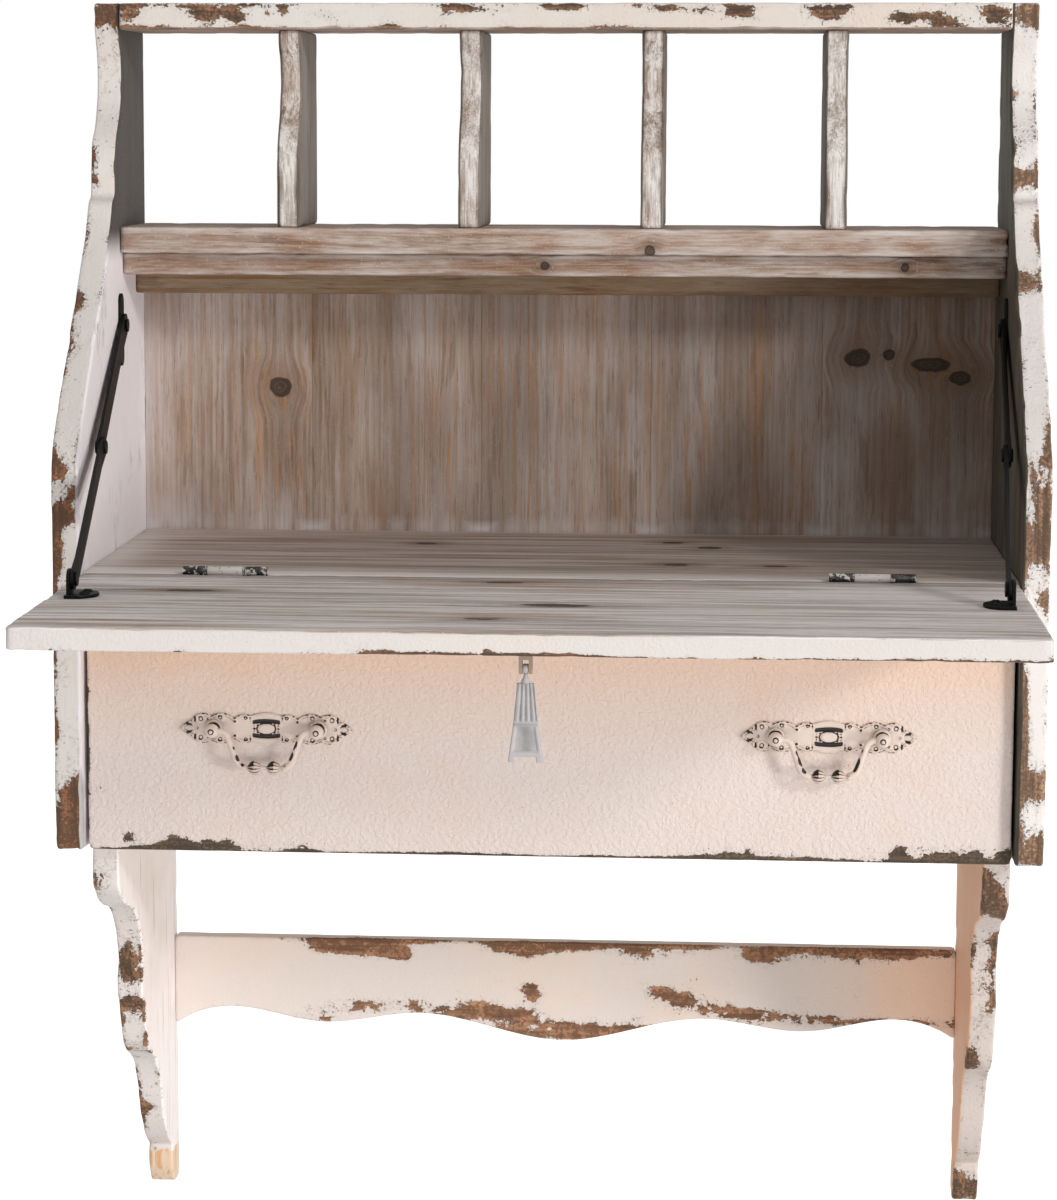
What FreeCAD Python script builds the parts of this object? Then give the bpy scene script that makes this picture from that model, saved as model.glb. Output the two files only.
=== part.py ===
import FreeCAD, Part
import math
import os

# Wall-hung slant-front writing desk in millimetres: a case with pigeonholes, a drop lid held by
# two folding stays, one drawer with bail pulls, and two scrolled bracket legs with a stretcher.
# Frame: +X to the right seen from the front, +Y into the wall, +Z up.
# The origin lies on the wall plane, midway between the two keyhole hangers.
# The desk is drawn with its lid open. Depths run forward from the wall, heights from the writing surface.

# Case
inner_width = 566.0
board = 17.0
case_above_desk = 347.0
case_below_desk = 172.0
hanger_below_top = 37.0
wall_to_hinge = 244.0
panel_reach = 8.0

# Front outline of the side panels, from the top down
panel_top_depth = 91.0
cove_depth = 79.0
cove_height = 300.0
belly_depth = 107.0
belly_height = 240.0
ledge_depth = 118.0
ledge_height = 221.0
ledge_fall = 4.0
shoulder_height = 64.0
panel_corner_radius = 6.0
ogee_pull_share = 0.5
sweep_pull_share = 0.14

# Pigeonholes
divider_count = 4
divider_thickness = 14.5
divider_top_depth = 89.0
divider_cove_depth = 78.0
divider_belly_depth = 98.0
top_board_depth = 94.0
shelf_depth = 100.0
shelf_height = 205.0

# Rails under the shelf and the boarded back
stop_rail_depth = 90.0
stop_rail_height = 14.0
stop_rail_thickness = 14.0
hanging_rail_depth = 41.0
hanging_rail_height = 28.0
back_thickness = 8.0
back_board_count = 5
back_bevel = 0.4

# Desk floor, lid and case bottom
desk_thickness = 13.0
lid_length = 234.5
lid_side_gap = 1.5
lid_joint_gap = 1.0
lid_edge_radius = 2.5
bottom_thickness = 12.0

# Drawer
drawer_setback = 1.0
drawer_front_thickness = 18.0
drawer_side_gap = 2.0
drawer_top_gap = 1.5
drawer_box_gap = 2.5
drawer_wall = 12.0
drawer_box_height = 130.0
drawer_rear_gap = 14.0
drawer_bottom_thickness = 5.0
drawer_bottom_lift = 6.0
drawer_groove = 5.0

# Legs and stretcher
leg_thickness = 17.0
leg_depth = 224.0
leg_height = 280.0
leg_inset = 0.5
stretcher_thickness = 13.0
stretcher_below_case = 108.0
stretcher_height = 68.0

# Butt hinges, let into the joint between the desk floor and the lid
hinge_inset = 88.0
hinge_length = 50.0
hinge_axis_rise = 1.6
hinge_knuckle_radius = 2.8
hinge_pin_radius = 1.25
hinge_pin_head = 0.8
hinge_end_knuckle = 14.0
hinge_leaf_thickness = 1.2
hinge_leaf_gap = 0.4
hinge_leaf_drop = 12.4
hinge_tab_rise = 1.6
hinge_screw_offset = 15.0
hinge_screw_drop = 8.0

# Folding stays: each has a wall plate, two links and an angle bracket on the lid
stay_pivot_back = 142.0
stay_pivot_rise = 142.0
bracket_pivot_front = 108.0
bracket_pivot_rise = 10.0
upper_link_length = 130.0
stay_slack = 0.6
stay_plate_thickness = 1.8
stay_plate_width = 12.0
stay_plate_above_pivot = 20.5
stay_plate_below_pivot = 26.0
stay_plate_screw_inset = 6.5
link_thickness = 2.0
link_pad = 14.0
upper_link_crank = 3.0
upper_link_width = 15.0
lower_link_width = 12.5
stay_rivet_radius = 2.0
stay_rivet_head_radius = 4.2
stay_rivet_head = 1.2
bracket_thickness = 2.0
bracket_width = 18.0
bracket_length = 28.0
bracket_foot_bow = 9.0
bracket_ear_width = 12.0
bracket_wall_gap = 12.2
bracket_screw_inset = 8.0

# Bail pulls on the drawer
pull_inset = 112.5
pull_below_desk = 95.0
pull_spacing = 64.0
pull_plate_overhang = 20.75
pull_plate_length = pull_spacing + 2 * pull_plate_overhang
pull_plate_height = 19.7
pull_plate_thickness = 1.6
medallion_length = 15.0
medallion_height = 11.0
medallion_rise = 0.9
post_reach = 12.0
post_flange_radius = 5.4
post_flange = 1.4
post_neck_radius = 2.8
post_ball_radius = 4.4
post_shank_radius = 2.0
nut_radius = 4.2
nut_sides = 6
nut_thickness = 3.2
shank_past_nut = 1.8
bail_radius = 1.9
bail_drop = 22.3
bail_bar_half = 15.5
bail_shoulder_half = 23.5
bail_shoulder_radius = 3.5
bail_corner_radius = 5.0
bail_socket = 3.4
bead_radius = 4.7
bead_half_length = 4.0
bead_offset = 5.9

# Drop pull under the lid
drop_pull_inset = 19.0
drop_axis_drop = 9.0
clevis_width = 7.4
clevis_depth = 6.0
clevis_slot = 3.4
clevis_slot_depth = 5.0
clevis_flange_radius = 6.0
clevis_flange = 1.5
clevis_stud_radius = 2.0
clevis_stud_length = 9.0
drop_pin_radius = 1.0
tongue_thickness = 2.4
tongue_radius = 2.5
pendant_top_drop = 8.0
pendant_length = 43.5
pendant_top_width = 8.7
pendant_foot_width = 18.4
pendant_thickness = 3.2
pendant_relief = 0.6
pendant_margin = 1.5
pendant_foot_notch = 2.4
pendant_foot = 3.4
pendant_flute_radius = 0.55
pendant_flute_count = 4

# Keyhole hangers let into the rear edges of the side panels
keyhole_radius = 4.5
keyhole_slot = 4.5
keyhole_slot_rise = 11.0
hanger_plate_width = 12.0
hanger_plate_above = 23.0
hanger_plate_below = 21.0
hanger_plate_thickness = 2.0
hanger_screw_above = 18.0
hanger_screw_below = 15.0
hanger_pocket_width = 11.0
hanger_pocket_depth = 9.0
hanger_pocket_above = 13.5
hanger_pocket_below = 6.0

# Wood screws and clearances
screw_head_radius = 2.6
screw_shank_radius = 1.3
screw_length = 9.0
running_gap = 0.3
pin_clearance = 0.05
seat_clearance = 0.02
overrun = 5.0

# Outlines as shares of the sizes they follow.
# Legs: share of the leg's depth ahead of the wall, then share of its height below the case.
leg_shoulder_shares = ((1.0, 0.10), (0.955, 0.128), (0.875, 0.161), (0.754, 0.193), (0.656, 0.261),
                       (0.612, 0.343))
leg_bead_shares = ((0.612, 0.343), (0.638, 0.386), (0.618, 0.436))
leg_knee_shares = ((0.549, 0.554), (0.50, 0.580), (0.411, 0.614), (0.33, 0.682), (0.272, 0.782),
                   (0.20, 0.85), (0.103, 0.90))
leg_foot_shares = ((0.123, 0.906), (0.123, 0.957), (0.08, 1.0))
# Stretcher: share of half its length from the middle, then share of its height.
stretcher_lobe_shares = ((0.0, 1.0), (0.37, 0.75), (0.622, 0.86), (0.833, 0.72), (1.0, 0.91))
# Pull plate: share of half its length, then share of half its height.
plate_cusp_shares = ((0.172, 0.80), (0.37, 0.63), (0.64, 0.76), (0.87, 0.50), (1.0, 0.0))
plate_crest_shares = ((0.25, 0.90), (0.53, 0.96), (0.765, 0.92), (0.945, 0.29))

# Levels and places worked out from the sizes above
V = FreeCAD.Vector
half_width = inner_width / 2
hinge_offset = half_width - hinge_inset
pull_offset = half_width - pull_inset
desk_z = hanger_below_top - case_above_desk
case_top_z = desk_z + case_above_desk
case_bottom_z = desk_z - case_below_desk
shelf_top_z = desk_z + shelf_height
shelf_under_z = shelf_top_z - board
top_board_under_z = case_top_z - board
hinge_y = -wall_to_hinge
hinge_z = desk_z + hinge_axis_rise
panel_depth = wall_to_hinge + panel_reach
lid_edge_y = hinge_y - lid_length
lid_under_z = desk_z - desk_thickness
drawer_face_y = hinge_y + drawer_setback
drawer_inside_y = drawer_face_y + drawer_front_thickness
bottom_top_z = case_bottom_z + bottom_thickness
panel_middle_x = half_width + board / 2


def box(low, high):
    """Block between two opposite corners."""
    size = high - low
    return Part.makeBox(size.x, size.y, size.z, low)


def line(start, end):
    """Straight edge."""
    return Part.makeLine(start, end)


def polyline(points):
    """Straight edges through the points, in order."""
    return [line(start, end) for start, end in zip(points, points[1:])]


def arc(start, middle, end):
    """Arc edge through three points."""
    return Part.Arc(start, middle, end).toShape()


def quarter_round(start, centre, end):
    """Arc edge from start to end about a centre, by the short way."""
    toward = (start - centre) + (end - centre)
    toward.normalize()
    return arc(start, centre + toward * (start - centre).Length, end)


def curve_through(points):
    """Smooth edge through the points."""
    spline = Part.BSplineCurve()
    spline.interpolate(points)
    return spline.toShape()


def ogee(start, end, pull_share):
    """S-shaped edge that leaves and arrives upright."""
    pull = V(0, 0, (end.z - start.z) * pull_share)
    curve = Part.BezierCurve()
    curve.setPoles([start, start + pull, end - pull, end])
    return curve.toShape()


def extruded(edges, travel):
    """Solid made by moving the closed outline along travel."""
    outline = Part.Wire(Part.sortEdges(edges)[0])
    return Part.Face(outline).extrude(travel)


def slab(edges, x_low, thickness):
    """Solid from an outline on the X = 0 plane, laid between x_low and x_low + thickness."""
    solid = extruded(edges, V(thickness, 0, 0))
    solid.translate(V(x_low, 0, 0))
    return solid


def at(depth, height):
    """Point on the X = 0 plane, ahead of the wall and above the writing surface."""
    return V(0, -depth, desk_z + height)


def mirrored(shape):
    """The same shape on the other side of the desk."""
    return shape.mirror(V(0, 0, 0), V(1, 0, 0))


def both_sides(shape):
    """A shape and its mirror image as one group of separate solids."""
    return Part.makeCompound([shape, mirrored(shape)])


def joined(shapes):
    """One solid from shapes that overlap."""
    return shapes[0].multiFuse(shapes[1:]).removeSplitter()


def drilled(shape, tools):
    """A shape with every tool cut out of it."""
    for tool in tools:
        shape = shape.cut(tool)
    return shape


def screw(seat, direction, clearance):
    """Countersunk wood screw with its head flush at seat; clearance makes the hole for it."""
    head_radius = screw_head_radius + clearance
    shank_radius = screw_shank_radius + clearance
    head = Part.makeCone(head_radius, shank_radius, head_radius - shank_radius, seat, direction)
    shank = Part.makeCylinder(shank_radius, screw_length + clearance, seat, direction)
    return joined([head, shank])


def screws(seats, direction):
    """Screws at every seat, and the tools that cut their holes."""
    bodies = [screw(seat, direction, 0) for seat in seats]
    holes = [screw(seat, direction, seat_clearance) for seat in seats]
    return bodies, holes


def panel_outline():
    """Side panel seen from the side: cove, belly, ledge and the long sweep out to the desk front."""
    top = at(panel_top_depth, case_above_desk)
    cove = at(cove_depth, cove_height)
    belly = at(belly_depth, belly_height)
    ledge_top = at(belly_depth, ledge_height + ledge_fall)
    ledge_foot = at(ledge_depth, ledge_height)
    shoulder = at(panel_depth, shoulder_height)
    corner_start = at(panel_depth, panel_corner_radius - case_below_desk)
    corner_centre = at(panel_depth - panel_corner_radius, panel_corner_radius - case_below_desk)
    corner_end = at(panel_depth - panel_corner_radius, -case_below_desk)
    rear_bottom = at(0, -case_below_desk)
    rear_top = at(0, case_above_desk)
    edges = [ogee(top, cove, ogee_pull_share)]
    edges.append(ogee(cove, belly, ogee_pull_share))
    edges += polyline([belly, ledge_top, ledge_foot])
    edges.append(ogee(ledge_foot, shoulder, sweep_pull_share))
    edges.append(line(shoulder, corner_start))
    edges.append(quarter_round(corner_start, corner_centre, corner_end))
    edges += polyline([corner_end, rear_bottom, rear_top, top])
    return edges


def divider_outline():
    """Pigeonhole divider seen from the side, with a softer version of the panel's wave."""
    top = V(0, -divider_top_depth, top_board_under_z)
    cove = at(divider_cove_depth, cove_height)
    belly = at(divider_belly_depth, belly_height)
    foot = V(0, -divider_belly_depth, shelf_top_z)
    rear_foot = V(0, 0, shelf_top_z)
    rear_top = V(0, 0, top_board_under_z)
    edges = [ogee(top, cove, ogee_pull_share)]
    edges.append(ogee(cove, belly, ogee_pull_share))
    edges += polyline([belly, foot, rear_foot, rear_top, top])
    return edges


def add_case_boards(nodes):
    """Top board, shelf, rails, dividers, boarded back, desk floor and case bottom."""
    top_low = V(-half_width, -top_board_depth, top_board_under_z)
    nodes["top_board"] = box(top_low, V(half_width, 0, case_top_z))
    shelf_low = V(-half_width, -shelf_depth, shelf_under_z)
    nodes["shelf_board"] = box(shelf_low, V(half_width, 0, shelf_top_z))
    stop_low = V(-half_width, -stop_rail_depth, shelf_under_z - stop_rail_height)
    stop_high = V(half_width, stop_rail_thickness - stop_rail_depth, shelf_under_z)
    nodes["lid_stop_rail"] = box(stop_low, stop_high)
    hanging_low = V(-half_width, -hanging_rail_depth, shelf_under_z - hanging_rail_height)
    nodes["hanging_rail"] = box(hanging_low, V(half_width, -back_thickness, shelf_under_z))

    pigeonhole_width = (inner_width - divider_count * divider_thickness) / (divider_count + 1)
    for index in range(divider_count):
        x_low = -half_width + pigeonhole_width + index * (pigeonhole_width + divider_thickness)
        nodes[f"divider_{index + 1}"] = slab(divider_outline(), x_low, divider_thickness)

    back_width = inner_width / back_board_count
    for index in range(back_board_count):
        nodes[f"back_board_{index + 1}"] = back_board(-half_width + index * back_width, back_width)

    bottom_low = V(-half_width, drawer_inside_y + running_gap, case_bottom_z)
    nodes["bottom_board"] = box(bottom_low, V(half_width, -back_thickness, bottom_top_z))
    floor_low = V(-half_width, hinge_y + lid_joint_gap / 2, lid_under_z)
    nodes["desk_floor"] = box(floor_low, V(half_width, -back_thickness, desk_z))


def back_board(x_low, width):
    """Upright back board with bevelled front edges, so that the joints show as fine grooves."""
    x_high = x_low + width
    front = -back_thickness
    points = [V(x_low, 0, case_bottom_z), V(x_low, front + back_bevel, case_bottom_z)]
    points.append(V(x_low + back_bevel, front, case_bottom_z))
    points.append(V(x_high - back_bevel, front, case_bottom_z))
    points.append(V(x_high, front + back_bevel, case_bottom_z))
    points.append(V(x_high, 0, case_bottom_z))
    edges = polyline(points + points[:1])
    return extruded(edges, V(0, 0, shelf_under_z - case_bottom_z))


def lid_board():
    """Lid with its two long free edges rounded over, open and level with the desk floor."""
    joint_y = hinge_y - lid_joint_gap / 2
    round_y = lid_edge_y + lid_edge_radius
    upper = V(0, round_y, desk_z)
    upper_centre = V(0, round_y, desk_z - lid_edge_radius)
    upper_front = V(0, lid_edge_y, desk_z - lid_edge_radius)
    lower_front = V(0, lid_edge_y, lid_under_z + lid_edge_radius)
    lower_centre = V(0, round_y, lid_under_z + lid_edge_radius)
    lower = V(0, round_y, lid_under_z)
    edges = [quarter_round(upper, upper_centre, upper_front)]
    edges.append(line(upper_front, lower_front))
    edges.append(quarter_round(lower_front, lower_centre, lower))
    edges += polyline([lower, V(0, joint_y, lid_under_z), V(0, joint_y, desk_z), upper])
    width = inner_width - 2 * lid_side_gap
    return slab(edges, -width / 2, width)


def add_hinges(nodes):
    """Two butt hinges; their mortises are cut into the desk floor and the lid."""
    case_bodies = []
    lid_bodies = []
    for side, centre_x in (("left", -hinge_offset), ("right", hinge_offset)):
        nodes[f"hinge_pin_{side}"] = hinge_pin(centre_x)
        case_leaf, case_seats = hinge_leaf(centre_x, 1)
        lid_leaf, lid_seats = hinge_leaf(centre_x, -1)
        case_screws, case_holes = screws(case_seats, V(0, 1, 0))
        lid_screws, lid_holes = screws(lid_seats, V(0, -1, 0))
        nodes[f"hinge_case_leaf_{side}"] = drilled(case_leaf, case_holes)
        nodes[f"hinge_lid_leaf_{side}"] = drilled(lid_leaf, lid_holes)
        nodes["desk_floor"] = drilled(nodes["desk_floor"], hinge_mortise(centre_x, 1) + case_holes)
        nodes["lid_board"] = drilled(nodes["lid_board"], hinge_mortise(centre_x, -1) + lid_holes)
        case_bodies += case_screws
        lid_bodies += lid_screws
    nodes["hinge_case_screws"] = Part.makeCompound(case_bodies)
    nodes["hinge_lid_screws"] = Part.makeCompound(lid_bodies)


def knuckle_spans(side):
    """Start and length of the knuckles, from the hinge's left end; side 1 is the case, -1 the lid."""
    middle = hinge_length - 2 * (hinge_end_knuckle + running_gap)
    if side > 0:
        return [(0, hinge_end_knuckle), (hinge_length - hinge_end_knuckle, hinge_end_knuckle)]
    return [(hinge_end_knuckle + running_gap, middle)]


def leaf_block(centre_x, side, z_low, z_high, start, length):
    """Flat piece of a leaf beside the joint's middle plane."""
    x_low = centre_x - hinge_length / 2 + start
    near = hinge_y + side * hinge_leaf_gap / 2
    far = near + side * hinge_leaf_thickness
    return box(V(x_low, min(near, far), z_low), V(x_low + length, max(near, far), z_high))


def hinge_leaf(centre_x, side):
    """One leaf with its knuckles, and the seats of its two screws."""
    plate_top = hinge_z - hinge_knuckle_radius - running_gap
    plate_low = hinge_z - hinge_leaf_drop
    pieces = [leaf_block(centre_x, side, plate_low, plate_top, 0, hinge_length)]
    bores = []
    for start, length in knuckle_spans(side):
        pieces.append(leaf_block(centre_x, side, plate_low, hinge_z - hinge_tab_rise, start, length))
        end = V(centre_x - hinge_length / 2 + start, hinge_y, hinge_z)
        pieces.append(Part.makeCylinder(hinge_knuckle_radius, length, end, V(1, 0, 0)))
        bores.append(Part.makeCylinder(hinge_pin_radius + pin_clearance, length, end, V(1, 0, 0)))
    face_y = hinge_y + side * hinge_leaf_gap / 2
    seats = []
    for shift in (-hinge_screw_offset, hinge_screw_offset):
        seats.append(V(centre_x + shift, face_y, hinge_z - hinge_screw_drop))
    return drilled(joined(pieces), bores), seats


def hinge_pin(centre_x):
    """Headed pin through the knuckles."""
    end = V(centre_x - hinge_length / 2, hinge_y, hinge_z)
    shaft = Part.makeCylinder(hinge_pin_radius, hinge_length, end, V(1, 0, 0))
    heads = []
    for head_x in (end.x - hinge_pin_head, end.x + hinge_length):
        place = V(head_x, hinge_y, hinge_z)
        heads.append(Part.makeCylinder(hinge_knuckle_radius, hinge_pin_head, place, V(1, 0, 0)))
    return joined([shaft] + heads)


def hinge_mortise(centre_x, side):
    """Tools for one board: a flat mortise for the leaf and a round relief for the knuckles."""
    length = hinge_length + 2 * (hinge_pin_head + running_gap)
    low = V(centre_x - hinge_length / 2, 0, hinge_z - hinge_leaf_drop)
    far = hinge_y + side * (hinge_leaf_gap / 2 + hinge_leaf_thickness)
    near = hinge_y
    leaf = box(V(low.x, min(near, far), low.z), V(low.x + hinge_length, max(near, far), desk_z + overrun))
    end = V(centre_x - length / 2, hinge_y, hinge_z)
    relief = Part.makeCylinder(hinge_knuckle_radius + running_gap, length, end, V(1, 0, 0))
    return [leaf, relief]


def bar(start, end, width, x_low, thickness):
    """Flat bar with round ends, between two points given as depth and height."""
    along = (end - start).normalize()
    across = V(0, -along.z, along.y) * (width / 2)
    tip = along * (width / 2)
    edges = [line(start + across, end + across)]
    edges.append(arc(end + across, end + tip, end - across))
    edges.append(line(end - across, start - across))
    edges.append(arc(start - across, start - tip, start + across))
    return slab(edges, x_low, thickness)


def cranked_bar(start, end, width, x_shift, thickness):
    """Flat bar with round ends; it starts at X = 0 and its far pad is shifted along X."""
    span = end - start
    along = V(span).normalize()
    across = V(0, -along.z, along.y) * width
    near = [start - along * width, start + along * link_pad]
    far = [end - along * link_pad + V(x_shift, 0, 0), end + along * width + V(x_shift, 0, 0)]
    face = near + far
    other = [point + V(thickness, 0, 0) for point in reversed(face)]
    strip = extruded(polyline(face + other + face[:1]), across)
    strip.translate(across * (-1 / 2))
    blank = bar(start, end, width, min(0, x_shift), thickness + abs(x_shift))
    return strip.common(blank).Solids[0]


def rod_x(radius, x_low, length, place):
    """Round piece along X at a place on the X = 0 plane."""
    return Part.makeCylinder(radius, length, V(x_low, place.y, place.z), V(1, 0, 0))


def stay_points():
    """Wall pivot, elbow and lid pivot of a stay with the lid open; the elbow sags to the rear."""
    wall_pivot = at(wall_to_hinge - stay_pivot_back, stay_pivot_rise)
    lid_pivot = at(wall_to_hinge + bracket_pivot_front, bracket_pivot_rise)
    span = lid_pivot - wall_pivot
    lower_link_length = span.Length + stay_slack - upper_link_length
    near = (upper_link_length**2 - lower_link_length**2 + span.Length**2) / (2 * span.Length)
    sag = math.sqrt(upper_link_length**2 - near**2)
    along = V(span).normalize()
    rearward = V(0, -along.z, along.y)
    return wall_pivot, wall_pivot + along * near + rearward * sag, lid_pivot


def add_stays(nodes):
    """Folding stays: built on the right and mirrored to the left."""
    wall_pivot, elbow, lid_pivot = stay_points()
    plate_x = half_width - stay_plate_thickness
    upper_x = plate_x - running_gap - link_thickness
    upper_elbow_x = upper_x - upper_link_crank
    lower_elbow_x = upper_elbow_x - running_gap - link_thickness
    ear_x = half_width - bracket_wall_gap - bracket_thickness
    lower_x = ear_x - running_gap - link_thickness
    bore_radius = stay_rivet_radius + pin_clearance

    plate_top = wall_pivot + V(0, 0, stay_plate_above_pivot - stay_plate_width / 2)
    plate_foot = wall_pivot - V(0, 0, stay_plate_below_pivot - stay_plate_width / 2)
    plate = bar(plate_foot, plate_top, stay_plate_width, plate_x, stay_plate_thickness)
    seat_high = wall_pivot.z + stay_plate_above_pivot - stay_plate_screw_inset
    seat_low = wall_pivot.z - stay_plate_below_pivot + stay_plate_screw_inset
    plate_seats = [V(plate_x, wall_pivot.y, height) for height in (seat_high, seat_low)]
    plate_screws, plate_holes = screws(plate_seats, V(1, 0, 0))
    rivet_hole = rod_x(stay_rivet_radius + seat_clearance, plate_x, stay_plate_thickness, wall_pivot)
    plate = drilled(plate, plate_holes + [rivet_hole])

    shaft = rod_x(stay_rivet_radius, upper_x - running_gap, half_width - upper_x + running_gap, wall_pivot)
    head_x = upper_x - running_gap - stay_rivet_head
    head = rod_x(stay_rivet_head_radius, head_x, stay_rivet_head, wall_pivot)
    wall_rivet = joined([shaft, head])

    upper_link = cranked_bar(wall_pivot, elbow, upper_link_width, -upper_link_crank, link_thickness)
    upper_link.translate(V(upper_x, 0, 0))
    upper_bore = rod_x(bore_radius, upper_x, link_thickness, wall_pivot)
    outer_head = rod_x(stay_rivet_head_radius, upper_elbow_x + link_thickness, stay_rivet_head, elbow)
    upper_link = joined([upper_link, outer_head]).cut(upper_bore)

    lower_link = cranked_bar(lid_pivot, elbow, lower_link_width, lower_elbow_x - lower_x, link_thickness)
    lower_link.translate(V(lower_x, 0, 0))
    lower_bore = rod_x(bore_radius, lower_x, link_thickness, lid_pivot)
    inner_head = rod_x(stay_rivet_head_radius, lower_elbow_x - stay_rivet_head, stay_rivet_head, elbow)
    lower_link = joined([lower_link, inner_head]).cut(lower_bore)

    lid_shaft_x = lower_x - running_gap
    lid_shaft = rod_x(stay_rivet_radius, lid_shaft_x, ear_x + bracket_thickness - lid_shaft_x, lid_pivot)
    lid_head = rod_x(stay_rivet_head_radius, lid_shaft_x - stay_rivet_head, stay_rivet_head, lid_pivot)
    lid_rivet = joined([lid_shaft, lid_head])
    bracket, bracket_screws, bracket_holes = lid_bracket(lid_pivot, ear_x)

    pieces = {"stay_wall_plate": plate, "stay_upper_link": upper_link}
    pieces.update({"stay_lower_link": lower_link, "lid_bracket": bracket})
    for name, shape in pieces.items():
        nodes[f"{name}_right"] = shape
        nodes[f"{name}_left"] = mirrored(shape)
    nodes["stay_wall_rivets"] = both_sides(wall_rivet)
    nodes["stay_lid_rivets"] = both_sides(lid_rivet)
    nodes["stay_plate_screws"] = both_sides(Part.makeCompound(plate_screws))
    nodes["lid_bracket_screws"] = both_sides(Part.makeCompound(bracket_screws))
    nodes["side_panel_right"] = drilled(nodes["side_panel_right"], plate_holes)
    lid_holes = bracket_holes + [mirrored(hole) for hole in bracket_holes]
    nodes["lid_board"] = drilled(nodes["lid_board"], lid_holes)


def lid_bracket(lid_pivot, ear_x):
    """Angle bracket: a bowed foot screwed to the lid and an upright ear with a round top."""
    foot_top = desk_z + bracket_thickness
    outer_x = ear_x + bracket_thickness
    inner_x = outer_x - bracket_width
    bow_x = inner_x + bracket_foot_bow
    front_y = lid_pivot.y - bracket_length / 2
    rear_y = lid_pivot.y + bracket_length / 2
    bow_front = V(bow_x, front_y, desk_z)
    bow_rear = V(bow_x, rear_y, desk_z)
    edges = polyline([bow_front, V(outer_x, front_y, desk_z), V(outer_x, rear_y, desk_z), bow_rear])
    edges.append(arc(bow_rear, V(inner_x, lid_pivot.y, desk_z), bow_front))
    foot = extruded(edges, V(0, 0, bracket_thickness))
    half_ear = bracket_ear_width / 2
    ear_front = lid_pivot - V(0, half_ear, 0)
    ear_rear = lid_pivot + V(0, half_ear, 0)
    edges = polyline([ear_rear, V(0, ear_rear.y, desk_z), V(0, ear_front.y, desk_z), ear_front])
    edges.append(arc(ear_front, lid_pivot + V(0, 0, half_ear), ear_rear))
    ear = slab(edges, ear_x, bracket_thickness)
    bore = rod_x(stay_rivet_radius + seat_clearance, ear_x, bracket_thickness, lid_pivot)
    seat_x = inner_x + bracket_screw_inset
    seats = []
    for shift in (-1, 1):
        seat_y = lid_pivot.y + shift * (bracket_length / 2 - bracket_screw_inset)
        seats.append(V(seat_x, seat_y, foot_top))
    bodies, holes = screws(seats, V(0, 0, -1))
    return drilled(joined([foot, ear]), [bore] + holes), bodies, holes


def add_hangers(nodes):
    """Keyhole plates let into the rear edge of each side panel, with room behind for the screw head."""
    middle = V(panel_middle_x, 0, 0)
    half = hanger_plate_width / 2
    low = middle + V(-half, -hanger_plate_thickness, -hanger_plate_below)
    plate = box(low, middle + V(half, 0, hanger_plate_above))
    seats = [middle + V(0, 0, hanger_screw_above), middle - V(0, 0, hanger_screw_below)]
    bodies, holes = screws(seats, V(0, -1, 0))
    through = V(0, -1, 0)
    start = middle + V(0, overrun, 0)
    length = hanger_plate_thickness + overrun
    entry = Part.makeCylinder(keyhole_radius, length, start, through)
    slot_half = keyhole_slot / 2
    slot_low = middle + V(-slot_half, -hanger_plate_thickness, 0)
    slot = box(slot_low, middle + V(slot_half, overrun, keyhole_slot_rise))
    slot_end = Part.makeCylinder(slot_half, length, start + V(0, 0, keyhole_slot_rise), through)
    half_pocket = hanger_pocket_width / 2
    pocket_low = middle + V(-half_pocket, -hanger_pocket_depth, -hanger_pocket_below)
    pocket = box(pocket_low, middle + V(half_pocket, 0, hanger_pocket_above))
    panel = drilled(nodes["side_panel_right"], [box(low, middle + V(half, overrun, hanger_plate_above))])
    nodes["side_panel_right"] = drilled(panel, [pocket] + holes)
    nodes["hanger_plate_right"] = drilled(plate, [entry, slot, slot_end] + holes)
    nodes["hanger_plate_left"] = mirrored(nodes["hanger_plate_right"])
    nodes["hanger_screws"] = both_sides(Part.makeCompound(bodies))


def leg_point(shares):
    """Point on a leg's outline from its depth share and its height share."""
    depth_share, drop_share = shares
    return V(0, -leg_depth * depth_share, case_bottom_z - leg_height * drop_share)


def add_legs(nodes):
    """Scrolled bracket legs under the case and the scalloped stretcher between them."""
    top_front = leg_point((1, 0))
    shoulder = [leg_point(shares) for shares in leg_shoulder_shares]
    bead = [leg_point(shares) for shares in leg_bead_shares]
    knee = [leg_point(shares) for shares in leg_knee_shares]
    foot = [leg_point(shares) for shares in leg_foot_shares]
    edges = [line(top_front, shoulder[0]), curve_through(shoulder), arc(*bead)]
    edges += [line(bead[-1], knee[0]), curve_through(knee)]
    edges += polyline([knee[-1]] + foot + [leg_point((0, 1)), leg_point((0, 0)), top_front])
    inner_x = half_width - leg_inset - leg_thickness
    nodes["leg_right"] = slab(edges, inner_x, leg_thickness)
    nodes["leg_left"] = mirrored(nodes["leg_right"])

    top_z = case_bottom_z - stretcher_below_case
    lobes = []
    for length_share, drop_share in stretcher_lobe_shares:
        lobes.append(V(inner_x * length_share, 0, top_z - stretcher_height * drop_share))
    far_lobes = [V(-point.x, point.y, point.z) for point in reversed(lobes[1:])]
    scallop = far_lobes + lobes
    edges = [curve_through(scallop)]
    edges += polyline([scallop[-1], V(inner_x, 0, top_z), V(-inner_x, 0, top_z), scallop[0]])
    nodes["stretcher"] = extruded(edges, V(0, -stretcher_thickness, 0))


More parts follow.
